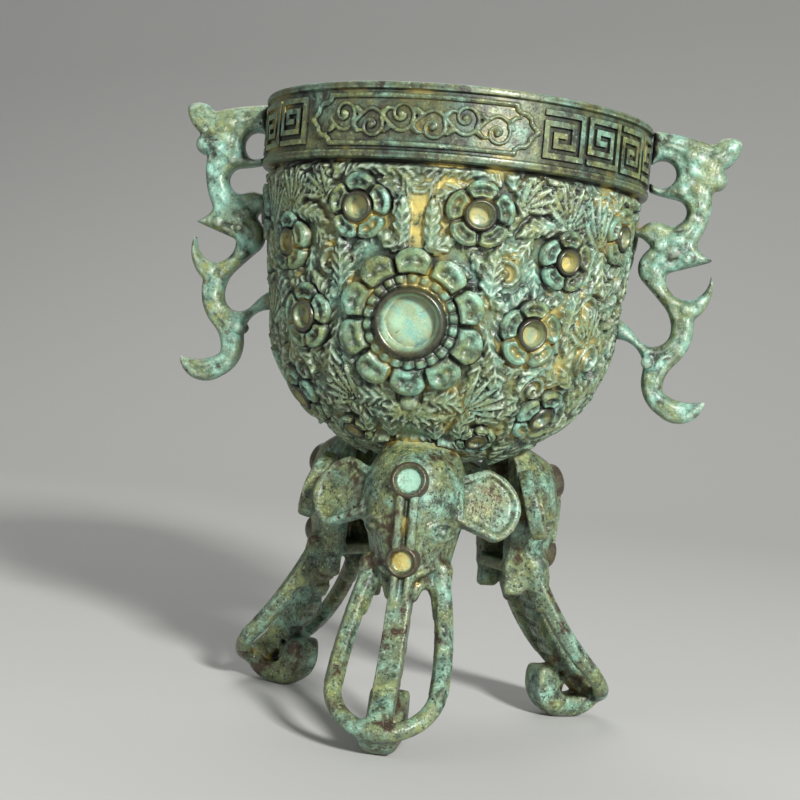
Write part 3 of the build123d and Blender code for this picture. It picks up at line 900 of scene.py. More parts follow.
    def filler_leaves(self) -> list[Leaf]:
        """Fills the half face with small leaves that swirl round the nearest flower.

        Returns:
            The small leaves, then the tuft under the rosette.
        """
        dice = random.Random(self.seed)
        found = []
        low, high = BOWL.arc_at(self.filler_bottom), BOWL.arc_at(self.filler_top)
        rows = int((high - low) / (self.filler_spacing * 0.87))
        for row in range(rows + 1):
            arc = low + (high - low) * row / rows
            radius = float(BOWL.radius_at(arc))
            across = math.pi / 2 * radius
            count = max(3, round(across / self.filler_spacing))
            for step in range(count + 1):
                x = across * (step + 0.5 * (row % 2)) / count
                x += dice.uniform(-self.filler_drift, self.filler_drift)
                y = arc + dice.uniform(-self.filler_drift, self.filler_drift)
                near = min(FLOWERS, key=lambda place: place.gap(x, y, radius) - place.form.reach)
                if near.gap(x, y, radius) < near.form.reach * (1 - self.filler_overlap):
                    continue
                facing = math.degrees(math.atan2(y - BOWL.arc_at(near.level),
                                                 x - math.radians(near.turn) * radius))
                hand = 1 if FLOWERS.index(near) % 2 else -1
                heading = facing + hand * self.filler_swirl
                heading += dice.uniform(-self.filler_sway, self.filler_sway)
                found.append(Leaf(math.degrees(x / radius), y, heading, dice.uniform(*self.filler_length),
                                  dice.uniform(*self.filler_width), dice.uniform(*self.filler_height),
                                  dice.uniform(-self.filler_bend, self.filler_bend)))
        for turn, heading in self.tuft:
            found.append(Leaf(turn, BOWL.arc_at(self.tuft_level), heading, *self.tuft_leaf))
        return found

    def fronds(self) -> list[Leaf]:
        """Fans of narrow fronds under the band, and the two pods between the upper flowers.

        Returns:
            The fronds and pods, which stand over the small leaves.
        """
        found = []
        for turn, level, middle, spread, count, length in self.fans:
            for step in range(count):
                share = step / (count - 1) - 0.5
                found.append(Leaf(turn, BOWL.arc_at(level), middle + spread * share,
                                  length * (1 - 0.5 * share ** 2), self.frond_width, self.frond_height,
                                  -0.05 * share, anchor=0.0, veins=0.0))
        found.append(Leaf(self.pod_turn, BOWL.arc_at(self.pod_level), 90.0, self.pod_length, self.pod_width,
                          self.pod_height, veins=self.pod_veins))
        return found

    def tendrils(self, turn: np.ndarray, arc: np.ndarray, radius: np.ndarray) -> np.ndarray:
        """Height of the curled tendrils at points of the folded half face.

        Args:
            turn: Folded turn of the points in degrees.
            arc: Arc length of the points.
            radius: Radius of the bowl at the points.

        Returns:
            Height over the ground.
        """
        height = np.zeros_like(turn)
        for place, level, size, hand in self.curls:
            x = np.radians(turn - place) * radius * hand
            y = arc - BOWL.arc_at(level)
            far = np.hypot(x, y)
            pitch = size / self.curl_turns
            ring = (far / pitch - np.arctan2(y, x) / math.tau) % 1.0
            ridge = np.exp(-(np.minimum(ring, 1 - ring) * pitch / self.curl_width) ** 2)
            field = smoothstep(size, size - self.curl_width, far)
            height = np.maximum(height, (self.curl_foot + self.curl_height * ridge) * field)
        return height

    def height(self, turn: np.ndarray, arc: np.ndarray) -> np.ndarray:
        """Height of the relief's ground at points of the bowl.

        Args:
            turn: Degrees from the front.
            arc: Arc length from the bottom.

        Returns:
            Height over the plain bowl.
        """
        folded = np.abs((turn - ORNAMENT_TURN + 90.0) % 180.0 - 90.0)
        radius = BOWL.radius_at(arc)
        across = np.radians(folded) * radius
        total = np.zeros_like(turn)
        main = self.main_leaves()
        small = self.filler_leaves()
        log.info("relief: %d large and %d small leaves on each quarter", len(main), len(small))
        for leaf in small:
            leaf.lay(total, folded, arc, radius, over=False)
        curl = self.tendrils(folded, arc, radius)
        np.copyto(total, curl, where=curl > 0.2)
        for leaf in main + self.fronds():
            leaf.lay(total, folded, arc, radius, over=True)
        for place in FLOWERS:
            reach = place.form.reach
            total *= smoothstep(reach * 0.78, reach * 0.98, place.gap(across, arc, radius))
        half_gap, half_height = self.pod_gap
        between = (across < half_gap) & (np.abs(arc - BOWL.arc_at(self.pod_level)) < half_height)
        np.minimum(total, 0.1, out=total, where=between)
        bead = np.hypot(across, arc - BOWL.arc_at(self.bead_level)) / self.bead_radius
        np.maximum(total, self.bead_height * np.sqrt(np.clip(1 - bead ** 2, 0, 1)), out=total)
        top = BOWL.arc_at(self.ground_top)
        return total * smoothstep(top, top - 1.0, arc) * smoothstep(6.0, 12.0, radius)

    def build_ground(self, face: Faces, nodes: Sequence[str]) -> bpy.types.Object:
        """Spins half of the bowl's outside and raises the relief on it.

        Args:
            face: The decorated face in the middle of that half.
            nodes: Solids that the half stands for.

        Returns:
            The relief piece.
        """
        start, end = BOWL.arc_at(self.ground_bottom), float(BOWL.meridian[-1, 0])
        rows = np.concatenate([np.linspace(0, start, 8)[:-1], np.arange(start, end, self.row), [end]])
        bm = turned(zip(-BOWL.radius_at(rows), BOWL.level_at(rows)), self.columns, math.pi)
        turn_about_axis(bm, face.value)
        points = mesh_points(bm)
        turn = np.degrees(np.arctan2(points[:, 0], -points[:, 1]))
        arc = BOWL.lengths_at(points[:, 2])
        height = self.height(turn, arc)
        move_points(bm, BOWL.wrap(turn, arc, height))
        across = np.radians((turn - ORNAMENT_TURN + 90.0) % 180.0 - 90.0) * BOWL.radius_at(arc)
        dust = np.zeros_like(height)
        for x, level, size in self.dusty:
            far = np.hypot(across - x, arc - BOWL.arc_at(level))
            dust = np.maximum(dust, smoothstep(size, size * 0.3, far) * smoothstep(0.75, 0.2, height))
        set_shares(bm, dust=dust)
        return add_piece(f"bowl_{face.name.lower()}_relief", bm, self.material, nodes)

    def build_flower(self, place: FlowerPlace, face: Faces, side: int) -> bpy.types.Object:
        """Sets one flower on the bowl.

        Args:
            place: The flower and its place on a face.
            face: The face of the bowl.
            side: Minus one for the left of the face's middle, one for the right.

        Returns:
            The flower piece.
        """
        bm, seat, ring = place.form.build()
        points = mesh_points(bm)
        arc = BOWL.arc_at(place.level) + points[:, 1]
        middle = face.value + ORNAMENT_TURN + side * place.turn
        turn = middle + np.degrees(points[:, 0] / BOWL.radius_at(np.maximum(arc, 6.0)))
        move_points(bm, BOWL.wrap(turn, arc, points[:, 2]))
        set_shares(bm, deposit=seat * self.seat_deposit, rub=ring * self.ring_rub,
                   dust=seat * place.form.dust)
        bmesh.ops.recalc_face_normals(bm, faces=bm.faces)
        name = f"{place.name}_{'right' if side > 0 else 'left'}_flower" if place.turn else place.name
        noded = place.noded and (face is Faces.FRONT or not place.turn)
        if not (noded and place.turn):
            name = f"{face.name.lower()}_{name}"
        return add_piece(name + "_cast", bm, self.material, [name] if noded else [])

    def build(self) -> None:
        """Builds the relief and every flower on both faces."""
        for face in Faces:
            self.build_ground(face, ["bowl"])
            for place in FLOWERS:
                if place.front_only and face is Faces.BACK:
                    continue
                for side in ((1,) if place.turn == 0.0 else (-1, 1)):
                    self.build_flower(place, face, side)


@dataclass
class RimBand:
    """The lining, the lip and the rim band with its key fret and framed panel."""

    material: bpy.types.Material
    lining: bpy.types.Material
    lining_radius: float = 32.2
    lining_depth: float = 28.4
    rim_radius: float = 40.0
    field_radius: float = 39.3
    foot_radii: tuple[float, float] = (37.4, 36.6)
    top: float = 125.0
    bottom: float = 110.6
    rail: float = 1.7
    lip_width: float = 2.5
    columns: int = 248
    rows: int = 11
    panel_columns: int = 48
    panel_turn: float = -4.6
    fret_height: float = 0.62
    fret_bevel: float = 0.2
    fret: tuple[str, ...] = (
        "#########.",
        "........#.",
        "#######.#.",
        "#.....#.#.",
        "#.###.#.#.",
        "#.#...#.#.",
        "#.#####.#.",
        "#.......#.",
        "#########.",
    )
    sharp: float = 42.0
    rail_rub: float = 0.55
    fret_rub: float = 0.05
    field_rub: float = 0.3
    bracket: tuple[tuple[float, float], ...] = (
        (18.4, 4.5), (18.5, 3.7), (19.3, 3.1), (20.4, 3.0), (21.2, 2.3), (21.4, 1.4), (22.1, 0.7),
        (23.0, 0.0))
    frame_radius: float = 0.66
    frame_lift: float = 0.1
    vine_radius: float = 0.5
    vine_half: float = 18.0
    vine_pitch: float = 12.0
    vine_swing: float = 2.0
    vine_lift: float = 0.15
    curl_radius: float = 2.3
    curl_tighten: float = 0.26
    curl_side: float = 1.1
    curl_tip: float = 0.42
    berry_radius: float = 0.75
    leaf_root: tuple[float, float] = (2.32, 2.34)
    leaf_radii: tuple[float, float] = (0.75, 0.3)
    panel_grain: float = 0.17
    panel_rounds: int = 3

    def profile(self) -> list[tuple[float, float]]:
        """Draws the section from the lining's bottom over the lip to the wall.

        Returns:
            Radius and level of its points.
        """
        lean = math.radians(BOWL.flare)
        stop = math.atan(math.tan(lean) * self.lining_depth / self.lining_radius)
        points = []
        for angle in np.linspace(-math.pi / 2, -stop, 26):
            points.append((self.lining_radius * math.cos(angle),
                           BOWL.belly_level + self.lining_depth * math.sin(angle)))
        start = points[-1]
        for level in np.linspace(start[1], self.top - 0.9, 14)[1:]:
            points.append((start[0] + (level - start[1]) * math.tan(lean), level))
        lip, rim = points[-1][0], self.rim_radius
        field_top, field_bottom = self.top - self.rail, self.bottom + self.rail
        points += [(lip + 0.3, self.top - 0.25), (lip + 0.9, self.top), (rim - 0.9, self.top),
                   (rim - 0.25, self.top - 0.25), (rim, self.top - 0.8), (rim - 0.1, field_top + 0.35)]
        for level in np.linspace(field_top, field_bottom, self.rows + 1):
            points.append((self.field_radius, level))
        points += [(rim - 0.1, field_bottom - 0.35), (rim, field_bottom - 0.8),
                   (rim - 0.2, self.bottom + 0.3), (rim - 0.8, self.bottom),
                   (self.foot_radii[0], self.bottom - 0.15), (self.foot_radii[1], self.bottom - 0.2)]
        return points

    def in_fret(self, turn: float, level: float) -> bool:
        """Tells whether a cell of the field belongs to the raised key fret.

        Args:
            turn: Degrees from the front.
            level: Level above the table.

        Returns:
            True for a raised cell.
        """
        cell = 360 / self.columns
        column = int(((turn - self.panel_turn) % 360) / cell)
        start = self.panel_columns // 2
        row_height = (self.top - self.bottom - 2 * self.rail) / self.rows
        row = int((self.top - self.rail - level) / row_height) - 1
        if not start <= column < self.columns - start or not 0 <= row < len(self.fret):
            return False
        unit, step = divmod(column - start, len(self.fret[0]))
        line = self.fret[row] if unit % 2 == 0 else self.fret[len(self.fret) - 1 - row]
        return line[step] == "#"

    def build_band(self) -> bpy.types.Object:
        """Spins the section and raises the fret's cells.

        Returns:
            The piece of lining, lip and band.
        """
        bm = turned(self.profile(), self.columns)
        turn_about_axis(bm, self.panel_turn - 90.0)
        raised = []
        for face in bm.faces:
            middle = face.calc_center_median()
            near = abs(math.hypot(middle.x, middle.y) - self.field_radius) < 0.15
            if near and self.in_fret(math.degrees(math.atan2(middle.x, -middle.y)), middle.z):
                raised.append(face)
        made = bmesh.ops.extrude_face_region(bm, geom=raised)
        bmesh.ops.delete(bm, geom=raised, context="FACES_ONLY")
        for vertex in (v for v in made["geom"] if isinstance(v, BMVert)):
            vertex.co += Vector((vertex.co.x, vertex.co.y, 0)).normalized() * self.fret_height
        crest = self.field_radius + self.fret_height * 0.9
        edges = [e for e in bm.edges if len(e.link_faces) == 2 and e.calc_face_angle(0) > 1.2
                 and math.hypot(e.verts[0].co.x, e.verts[0].co.y) > crest
                 and self.bottom + 1 < e.verts[0].co.z < self.top - 1]
        bmesh.ops.bevel(bm, geom=edges, offset=self.fret_bevel, offset_type="OFFSET", segments=2, profile=0.5,
                        affect="EDGES", material=-1)
        for face in bm.faces:
            middle = face.calc_center_median()
            face.material_index = int(math.hypot(middle.x, middle.y) < self.rim_radius - self.lip_width)
        far = np.hypot(*mesh_points(bm)[:, :2].T)
        rub = np.where(far > self.field_radius + 0.4, self.fret_rub, self.field_rub)
        set_shares(bm, rub=np.where(far > self.rim_radius - 0.07, self.rail_rub, rub))
        band = add_piece("bowl_band_and_lining", bm, self.material, sharp=self.sharp)
        band.data.materials.append(self.lining)
        return band

    def add_curl(self, bm: BMesh, step: int) -> None:
        """Adds one curl of the panel's vine with its berry and two leaves.

        Args:
            bm: The flat panel.
            step: Which bend of the stem it fills, counted from the middle.
        """
        side = 1 if step % 2 else -1
        middle = Vector(((step + 0.5) * self.vine_pitch / 2, side * self.curl_side, self.vine_lift))
        curl = []
        for angle in np.linspace(-0.6, 6.4, 26):
            way = Vector((math.cos(angle), side * math.sin(angle), 0))
            curl.append(middle + way * (self.curl_radius - self.curl_tighten * angle))
        add_rod(bm, curl, self.vine_radius, self.curl_tip)
        add_ball(bm, middle, self.berry_radius)
        out, down = self.leaf_root
        for lean in (-1, 1):
            root = middle + Vector((lean * out, -side * down, 0))
            bends = ((0, 0, 0), (lean * 0.9, -side * 0.9, 0.1), (lean * 2.0, -side * 0.9, 0))
            add_rod(bm, [root + Vector(bend) for bend in bends], *self.leaf_radii)

    def build_panel(self) -> bpy.types.Object:
        """Casts the panel's bracket-ended frame and its running vine, and bends them round the band.

        Returns:
            The panel piece.
        """
        bm = bmesh.new()
        end = [*self.bracket, *((x, -y) for x, y in reversed(self.bracket[:-1]))]
        ring = end + [(-x, -y) for x, y in end] + end[:1]
        add_rod(bm, [Vector((x, y, self.frame_lift)) for x, y in ring], self.frame_radius)
        stem = [Vector((x, self.vine_swing * math.sin(x * math.tau / self.vine_pitch), self.vine_lift))
                for x in np.linspace(-self.vine_half, self.vine_half, 90)]
        add_rod(bm, stem, self.vine_radius)
        for step in range(-3, 3):
            self.add_curl(bm, step)
        bm = cast(bm, self.panel_grain, self.panel_rounds)
        points = mesh_points(bm)
        angle = math.radians(self.panel_turn) + points[:, 0] / self.field_radius
        radius = self.field_radius + points[:, 2]
        level = points[:, 1] + (self.top + self.bottom) / 2
        move_points(bm, np.stack([radius * np.sin(angle), -radius * np.cos(angle), level], axis=1))
        set_shares(bm, rub=self.field_rub * smoothstep(0.4, 0.1, points[:, 2]))
        return add_piece("bowl_band_panel", bm, self.material)

    def build(self) -> None:
        """Builds the band and its panel."""
        self.build_band()
        self.build_panel()


@dataclass
class DragonHandle:
    """One openwork dragon handle with a horn, a knob at the jaw and small beads on its bends.

    The horn's points, the knob and the beads lie out and down from the rim's edge; the last two add a radius.
    """

    material: bpy.types.Material
    side: int
    rim_radius: float = 40.0
    rim_level: float = 125.0
    half_thickness: float = 3.1
    knob: tuple[float, float, float] = (13.4, 9.3, 2.3)
    knob_scale: tuple[float, float, float] = (1.0, 1.35, 1.0)
    horn: tuple[tuple[float, float], ...] = ((12.6, 5.4), (14.0, 3.6), (15.6, 2.4))
    horn_radii: tuple[float, float] = (2.5, 1.9)
    beads: tuple[tuple[float, float, float], ...] = (
        (6.9, 12.1, 1.2), (3.2, 23.6, 1.3), (8.8, 25.6, 1.2), (2.8, 47.4, 1.3), (8.0, 5.0, 1.6),
        (9.6, 36.2, 1.1))
    bead_scale: tuple[float, float, float] = (1.0, 0.8, 1.0)
    bead_sink: float = 0.5
    grain: float = 0.32
    plate_rounds: int = 10
    last_rounds: int = 3
    edge_round: float = 2.7
    edge_share: float = 0.35
    swell_share: float = 0.7
    groove_inset: float = 2.0
    groove_width: float = 0.45
    groove_depth: float = 0.4
    uneven: float = 0.25

    def place(self, out: float, drop: float, across: float = 0.0) -> Vector:
        """Point of the handle, out and down from the rim's edge."""
        return Vector((self.side * (self.rim_radius + out), across, self.rim_level - drop))

    def round_plate(self, bm: BMesh) -> None:
        """Swells the flat plate so that its edges are thin, with a groove along them and an uneven face.

        Args:
            bm: Skin of the handle.
        """
        points = mesh_points(bm)
        walls = points[np.abs(points[:, 1]) < self.half_thickness * 0.4]
        tree = KDTree(len(walls))
        for number, (x, _, z) in enumerate(walls):
            tree.insert((x, 0, z), number)
        tree.balance()
        inset = np.array([tree.find((x, 0, z))[2] for x, _, z in points])
        swell = np.sqrt(1 - (1 - np.clip(inset / self.edge_round, 0, 1)) ** 2)
        groove = self.groove_depth * np.exp(-((inset - self.groove_inset) / self.groove_width) ** 2)
        lumps = self.uneven * np.sin(points[:, 0] * 1.1 + points[:, 2] * 0.8) * np.sin(points[:, 2] * 1.3)
        half = self.half_thickness * (self.edge_share + self.swell_share * swell) - groove + lumps * swell
        points[:, 1] *= half / self.half_thickness
        move_points(bm, points)

    def build(self) -> bpy.types.Object:
        """Rounds the handle's plate and adds the horn, the knob and the beads.

        Returns:
            The handle piece.
        """
        node = "right_handle" if self.side > 0 else "left_handle"
        bm = cast(solid_copy(node), self.grain, self.plate_rounds)
        self.round_plate(bm)
        out, drop, radius = self.knob
        add_ball(bm, self.place(out, drop), radius, self.knob_scale)
        add_rod(bm, [self.place(out, drop) for out, drop in self.horn], *self.horn_radii)
        for out, drop, radius in self.beads:
            for face in (-1, 1):
                middle = self.place(out, drop, face * (self.half_thickness - self.bead_sink))
                add_ball(bm, middle, radius, self.bead_scale)
        skin = cast(bm, self.grain, self.last_rounds)
        return add_piece(node + "_cast", skin, self.material, [node])


@dataclass
class ElephantLeg:
    """One leg: an elephant head with ears, tusks and a trunk, cast in one, with two stone seats.

    The leg's own frame has X outwards and Y across. Points of the arch and the tusk's root are a reach, a
    distance across and a level; the fork's have a share of the ridges' half gap as the second. The cheeks'
    points are a reach and a level, and the curl's balls add a radius to them. A lid is its lift over the eye,
    its half width and its radius.
    """

    material: bpy.types.Material
    name: str
    turn: float
    grain: float = 0.3
    rounds: int = 5
    brow_level: float = 50.7
    brow_radius: float = 3.5
    brow_dust: float = 0.15
    snout_level: float = 35.3
    snout_radius: float = 3.1
    snout_dust: float = 0.9
    seat_rim: float = 1.1
    seat_root: float = 1.6
    seat_deposit: float = 0.9
    seat_rub: float = 0.8
    ridge_half_gap: float = 1.3
    ridge_radius: float = 1.0
    ridge_levels: tuple[float, float] = (48.2, 37.6)
    ridge_lift: float = 0.45
    fork: tuple[tuple[float, float, float], ...] = ((28.6, 1.0, 32.2), (29.1, 1.0, 30.0), (29.2, 0.9, 27.6))
    eye_level: float = 41.3
    eye_across: float = 6.7
    eye_radius: float = 1.1
    lids: tuple[tuple[float, float, float], ...] = ((1.9, 2.5, 0.75), (-1.7, 2.1, 0.65))
    lip_across: float = 3.0
    lip_width: float = 4.7
    lip_level: float = 32.9
    lip_rise: float = 2.6
    lip_radii: tuple[float, float] = (0.95, 0.7)
    arch: tuple[tuple[float, float, float], ...] = (
        (26.2, 2.2, 28.4), (25.6, 2.9, 30.2), (24.8, 4.2, 31.2), (24.2, 5.6, 30.4), (24.0, 6.6, 28.6))
    arch_radius: float = 1.25
    tusk_root: tuple[tuple[float, float, float], ...] = (
        (22.6, 6.9, 33.5), (23.6, 7.2, 29.5), (25.2, 7.9, 25.0))
    tusk_radii: tuple[float, float] = (2.5, 1.7)
    cheek_root: float = 17.4
    cheek_across: tuple[float, float] = (6.6, 7.0)
    cheeks: tuple[tuple[float, float], ...] = ((23.0, 32.0), (23.4, 30.6), (23.0, 29.2), (20.5, 27.9))
    ear_root: tuple[float, float, float] = (20.0, 10.8, 46.5)
    ear_length: float = 11.0
    ear_height: float = 14.4
    ear_sweep: float = 30.0
    ear_tilt: float = 15.0
    ear_outline: tuple[tuple[float, float], ...] = (
        (0.30, 0.86), (0.55, 0.93), (0.78, 0.74), (0.90, 0.42), (0.93, 0.08), (0.89, -0.3), (0.76, -0.66),
        (0.55, -0.92), (0.38, -0.84))
    ear_rim: tuple[float, float, float] = (0.55, 0.95, 0.5)
    ear_rim_lift: float = 0.7
    dome_level: float = 53.5
    dome_height: float = 8.5
    dome_reach: float = 12.0
    dome_draw: float = 0.7
    brow_narrow: float = 0.3
    brow_half: float = 11.0
    braze_dust: float = 0.9
    braze_deposit: float = 0.5
    foot_top: float = 12.0
    foot_rounds: int = 26
    ear_rounds: int = 8
    jowl_rounds: int = 14
    curl: tuple[tuple[float, float, float], ...] = ((31.3, 8.6, 2.9), (33.2, 7.2, 2.6))
    curl_scale: tuple[float, float, float] = (1.0, 1.3, 1.0)

    @property
    def around(self) -> Matrix:
        """Turns the leg's own frame, with X outwards, to its place round the cup."""
        return Matrix.Rotation(math.radians(self.turn), 4, "Z")

    def nodes(self, *pieces: str) -> list[str]:
        """Full names of pieces of this leg."""
        return [f"{self.name}_leg_{piece}" for piece in pieces]

    def own_copy(self, *nodes: str) -> BMesh:
        """Copies solids of the leg in its own frame.

        Args:
            *nodes: Names of the solids.

        Returns:
            One bmesh that holds them all.
        """
        bm = solid_copy(*nodes)
        bmesh.ops.transform(bm, matrix=self.around.inverted(), verts=bm.verts)
        return bm

    def on_face(self, tree: BVHTree, across: float, level: float) -> tuple[Vector, Vector]:
        """Finds the point of the head's front that lies at a level and a distance across.

        Args:
            tree: The head's surface in the leg's own frame.
            across: Distance from the leg's middle plane.
            level: Level above the table.

        Returns:
            The point and the outward direction there.
        """
        point, normal, _, _ = tree.ray_cast(Vector((80.0, across, level)), Vector((-1, 0, 0)))
        return point, normal

    def ear_point(self, side: int, out: float, up: float, forward: float) -> Vector:
        """Point of an ear in the ear's own directions.

        Args:
            side: Minus one for the left ear, one for the right one.
            out: Distance from the cheek towards the ear's tip.
            up: Distance up from the ear's middle.
            forward: Distance in front of the ear's middle plane.

        Returns:
            The point in the leg's frame.
        """
        sweep, tilt = math.radians(self.ear_sweep), math.radians(self.ear_tilt)
        outwards = Vector((-math.sin(sweep), math.cos(sweep), 0))
        ahead = Vector((math.cos(sweep), math.sin(sweep), 0))
        facing = ahead * math.cos(tilt) + Vector((0, 0, math.sin(tilt)))
        point = Vector(self.ear_root) + outwards * out + facing.cross(outwards) * up + facing * forward
        return Vector((point.x, side * point.y, point.z))

    def add_face(self, bm: BMesh, tree: BVHTree, side: int) -> None:
        """Adds one side's ridge, forked tip, eye and lip to the head.

        Args:
            bm: Mesh of the leg in its own frame.
            tree: The head's surface.
            side: Minus one for the left, one for the right.
        """
        y = side * self.ridge_half_gap
        ridge = [self.on_face(tree, y, level)[0] + Vector((self.ridge_lift, 0, 0))
                 for level in np.linspace(*self.ridge_levels, 10)]
        add_rod(bm, ridge, self.ridge_radius)
        fork = [Vector((reach, y * spread, level)) for reach, spread, level in self.fork]
        add_rod(bm, fork, self.ridge_radius * 0.9, self.ridge_radius * 0.8)
        eye, _ = self.on_face(tree, side * self.eye_across, self.eye_level)
        add_ball(bm, eye, self.eye_radius, (1, 1, 0.75))
        for lift, spread, thick in self.lids:
            lid = [self.on_face(tree, side * (self.eye_across + share * spread),
                                self.eye_level + lift * (1 - 0.75 * share ** 2))[0]
                   for share in np.linspace(-1, 1, 9)]
            add_rod(bm, lid, thick)
        lip = [self.on_face(tree, side * (self.lip_across + share * self.lip_width),
                            self.lip_level + share * self.lip_rise)[0] + Vector((0.2, 0, 0))
               for share in np.linspace(0, 1, 8)]
        add_rod(bm, lip, *self.lip_radii)

    def add_arch(self, bm: BMesh, side: int) -> None:
        """Adds the round arch between the trunk and a tusk, and thickens the tusk's root and the cheek.

        Args:
            bm: Mesh of the leg in its own frame.
            side: Minus one for the left, one for the right.
        """
        arch, root = ([Vector((reach, side * across, level)) for reach, across, level in points]
                      for points in (self.arch, self.tusk_root))
        add_rod(bm, arch, self.arch_radius)
        add_rod(bm, root, *self.tusk_radii)
        for reach, level in self.cheeks:
            back, front = (side * across for across in self.cheek_across)
            cheek = [Vector((self.cheek_root, back, level)), Vector((reach, front, level))]
            add_rod(bm, cheek, self.arch_radius)

    def add_ear_rim(self, bm: BMesh, side: int) -> None:
        """Adds the thick rolled rim round the outside of an ear.

        Args:
            bm: Mesh of the leg in its own frame.
            side: Minus one for the left ear, one for the right one.
        """
        rim = [self.ear_point(side, out * self.ear_length, up * self.ear_height / 2, self.ear_rim_lift)
               for out, up in self.ear_outline]
        top, tip, bottom = self.ear_rim
        half = len(rim) // 2
        add_rod(bm, rim[:half + 1], top, tip)
        add_rod(bm, rim[half:], tip, bottom)

    def tuck_brow(self, bm: BMesh) -> None:
        """Domes the top of the head in under the bowl and marks the braze left where they meet.

        Args:
            bm: Skin of the leg in its own frame.
        """
        points = mesh_points(bm)
        level = points[:, 2]
        draw = self.dome_draw * smoothstep(self.dome_level, self.dome_level + self.dome_height, level)
        points[:, 0] = self.dome_reach + (points[:, 0] - self.dome_reach) * (1 - draw)
        narrow = self.brow_narrow * smoothstep(self.dome_level - 7.0, self.dome_level + 7.0, level)
        points[:, 1] -= np.clip(points[:, 1], -self.brow_half, self.brow_half) * narrow
        move_points(bm, points)
        gap = np.hypot(points[:, 0], points[:, 1]) - BOWL.radius_at(BOWL.lengths_at(level))
        braze = smoothstep(6.5, 1.0, gap) * smoothstep(self.dome_level - 1.5, self.dome_level + 1.0, level)
        set_shares(bm, dust=braze * self.braze_dust, deposit=braze * self.braze_deposit)

    def soften(self, bm: BMesh) -> None:
        """Rounds the ears, jowls and curled foot as wear does, and leaves the foot's pad flat on the table.

        Args:
            bm: Skin of the leg in its own frame.
        """
        foot = [v for v in bm.verts if v.co.z < self.foot_top]
        ears = [v for v in bm.verts if abs(v.co.y) > self.ear_root[1] + 1.5 and v.co.z > self.snout_level]
        jowls = [v for v in bm.verts if v.co.x < self.ear_root[0] + 2.5 and v.co.z < self.snout_level]
        for verts, rounds in ((foot, self.foot_rounds), (ears, self.ear_rounds), (jowls, self.jowl_rounds)):
            for _ in range(rounds):
                bmesh.ops.smooth_vert(bm, verts=verts, factor=0.5, use_axis_x=True, use_axis_y=True,
                                      use_axis_z=True)
        lowest = min(v.co.z for v in foot)
        for vertex in foot:
            share = 1 - vertex.co.z / self.foot_top
            vertex.co.z = max(vertex.co.z - lowest * share, 0.0)

    def build(self) -> None:
        """Melts the leg's solids and the head's features into one casting and sets the seats."""
        parts = self.nodes("head", "trunk", "left_ear", "right_ear", "left_tusk", "right_tusk")
        head = self.own_copy(parts[0])
        tree = BVHTree.FromBMesh(head)
        head.free()
        bm = self.own_copy(*parts)
        for reach, level, radius in self.curl:
            add_ball(bm, Vector((reach, 0, level)), radius, self.curl_scale)
        for side in (-1, 1):
            self.add_face(bm, tree, side)
            self.add_arch(bm, side)
            self.add_ear_rim(bm, side)
        bm = cast(bm, self.grain, self.rounds)
        self.soften(bm)
        self.tuck_brow(bm)
        self.build_seat(tree, self.brow_level, self.brow_radius, "brow_bezel", self.brow_dust)
        self.build_seat(tree, self.snout_level, self.snout_radius, "snout_bezel", self.snout_dust)
        bmesh.ops.transform(bm, matrix=self.around, verts=bm.verts)
        add_piece(f"{self.name}_leg_cast", bm, self.material, parts)

    def build_seat(self, tree: BVHTree, level: float, radius: float, node: str,
                   dust: float) -> bpy.types.Object:
        """Turns one round stone seat and sets it on the head.

        Args:
            tree: The head's surface.
            level: Level of the seat above the table.
            radius: Outer radius of its ring.
            node: Name of the solid that it stands for.
            dust: Share of ochre dust on its floor.

        Returns:
            The seat piece.
        """
        inner = radius - self.seat_rim
        rings = [(inner * share, 0.25 + 0.2 * share ** 2) for share in np.linspace(0, 1, 7)]
        for share in np.linspace(0, 1, 13)[1:]:
            lift = math.sin(math.pi * share) ** 0.7
            rings.append((inner + share * (radius + 0.2 - inner), 0.45 + 0.95 * lift))
        rings.append((radius + 0.3, -self.seat_root))
        bm = turned(rings, 72)
        far = np.hypot(*mesh_points(bm)[:, :2].T)
        floor = smoothstep(inner + 0.1, inner - 0.4, far)
        ring = smoothstep(inner + 0.1, inner + 0.5, far)
        set_shares(bm, deposit=floor * self.seat_deposit, dust=floor * dust, rub=ring * self.seat_rub)
        point, facing = self.on_face(tree, 0.0, level)
        stand = Matrix.Translation(point) @ facing.to_track_quat("Z", "Y").to_matrix().to_4x4()
        bmesh.ops.transform(bm, matrix=self.around @ stand, verts=bm.verts)
        name = self.nodes(node)[0]
        return add_piece(name + "_cast", bm, self.material, [name])


@dataclass(frozen=True)
class Lamp:
    """A soft square lamp: its place and side in metres and its power in watts."""

    name: str
    place: tuple[float, float, float]
    size: float
    power: float


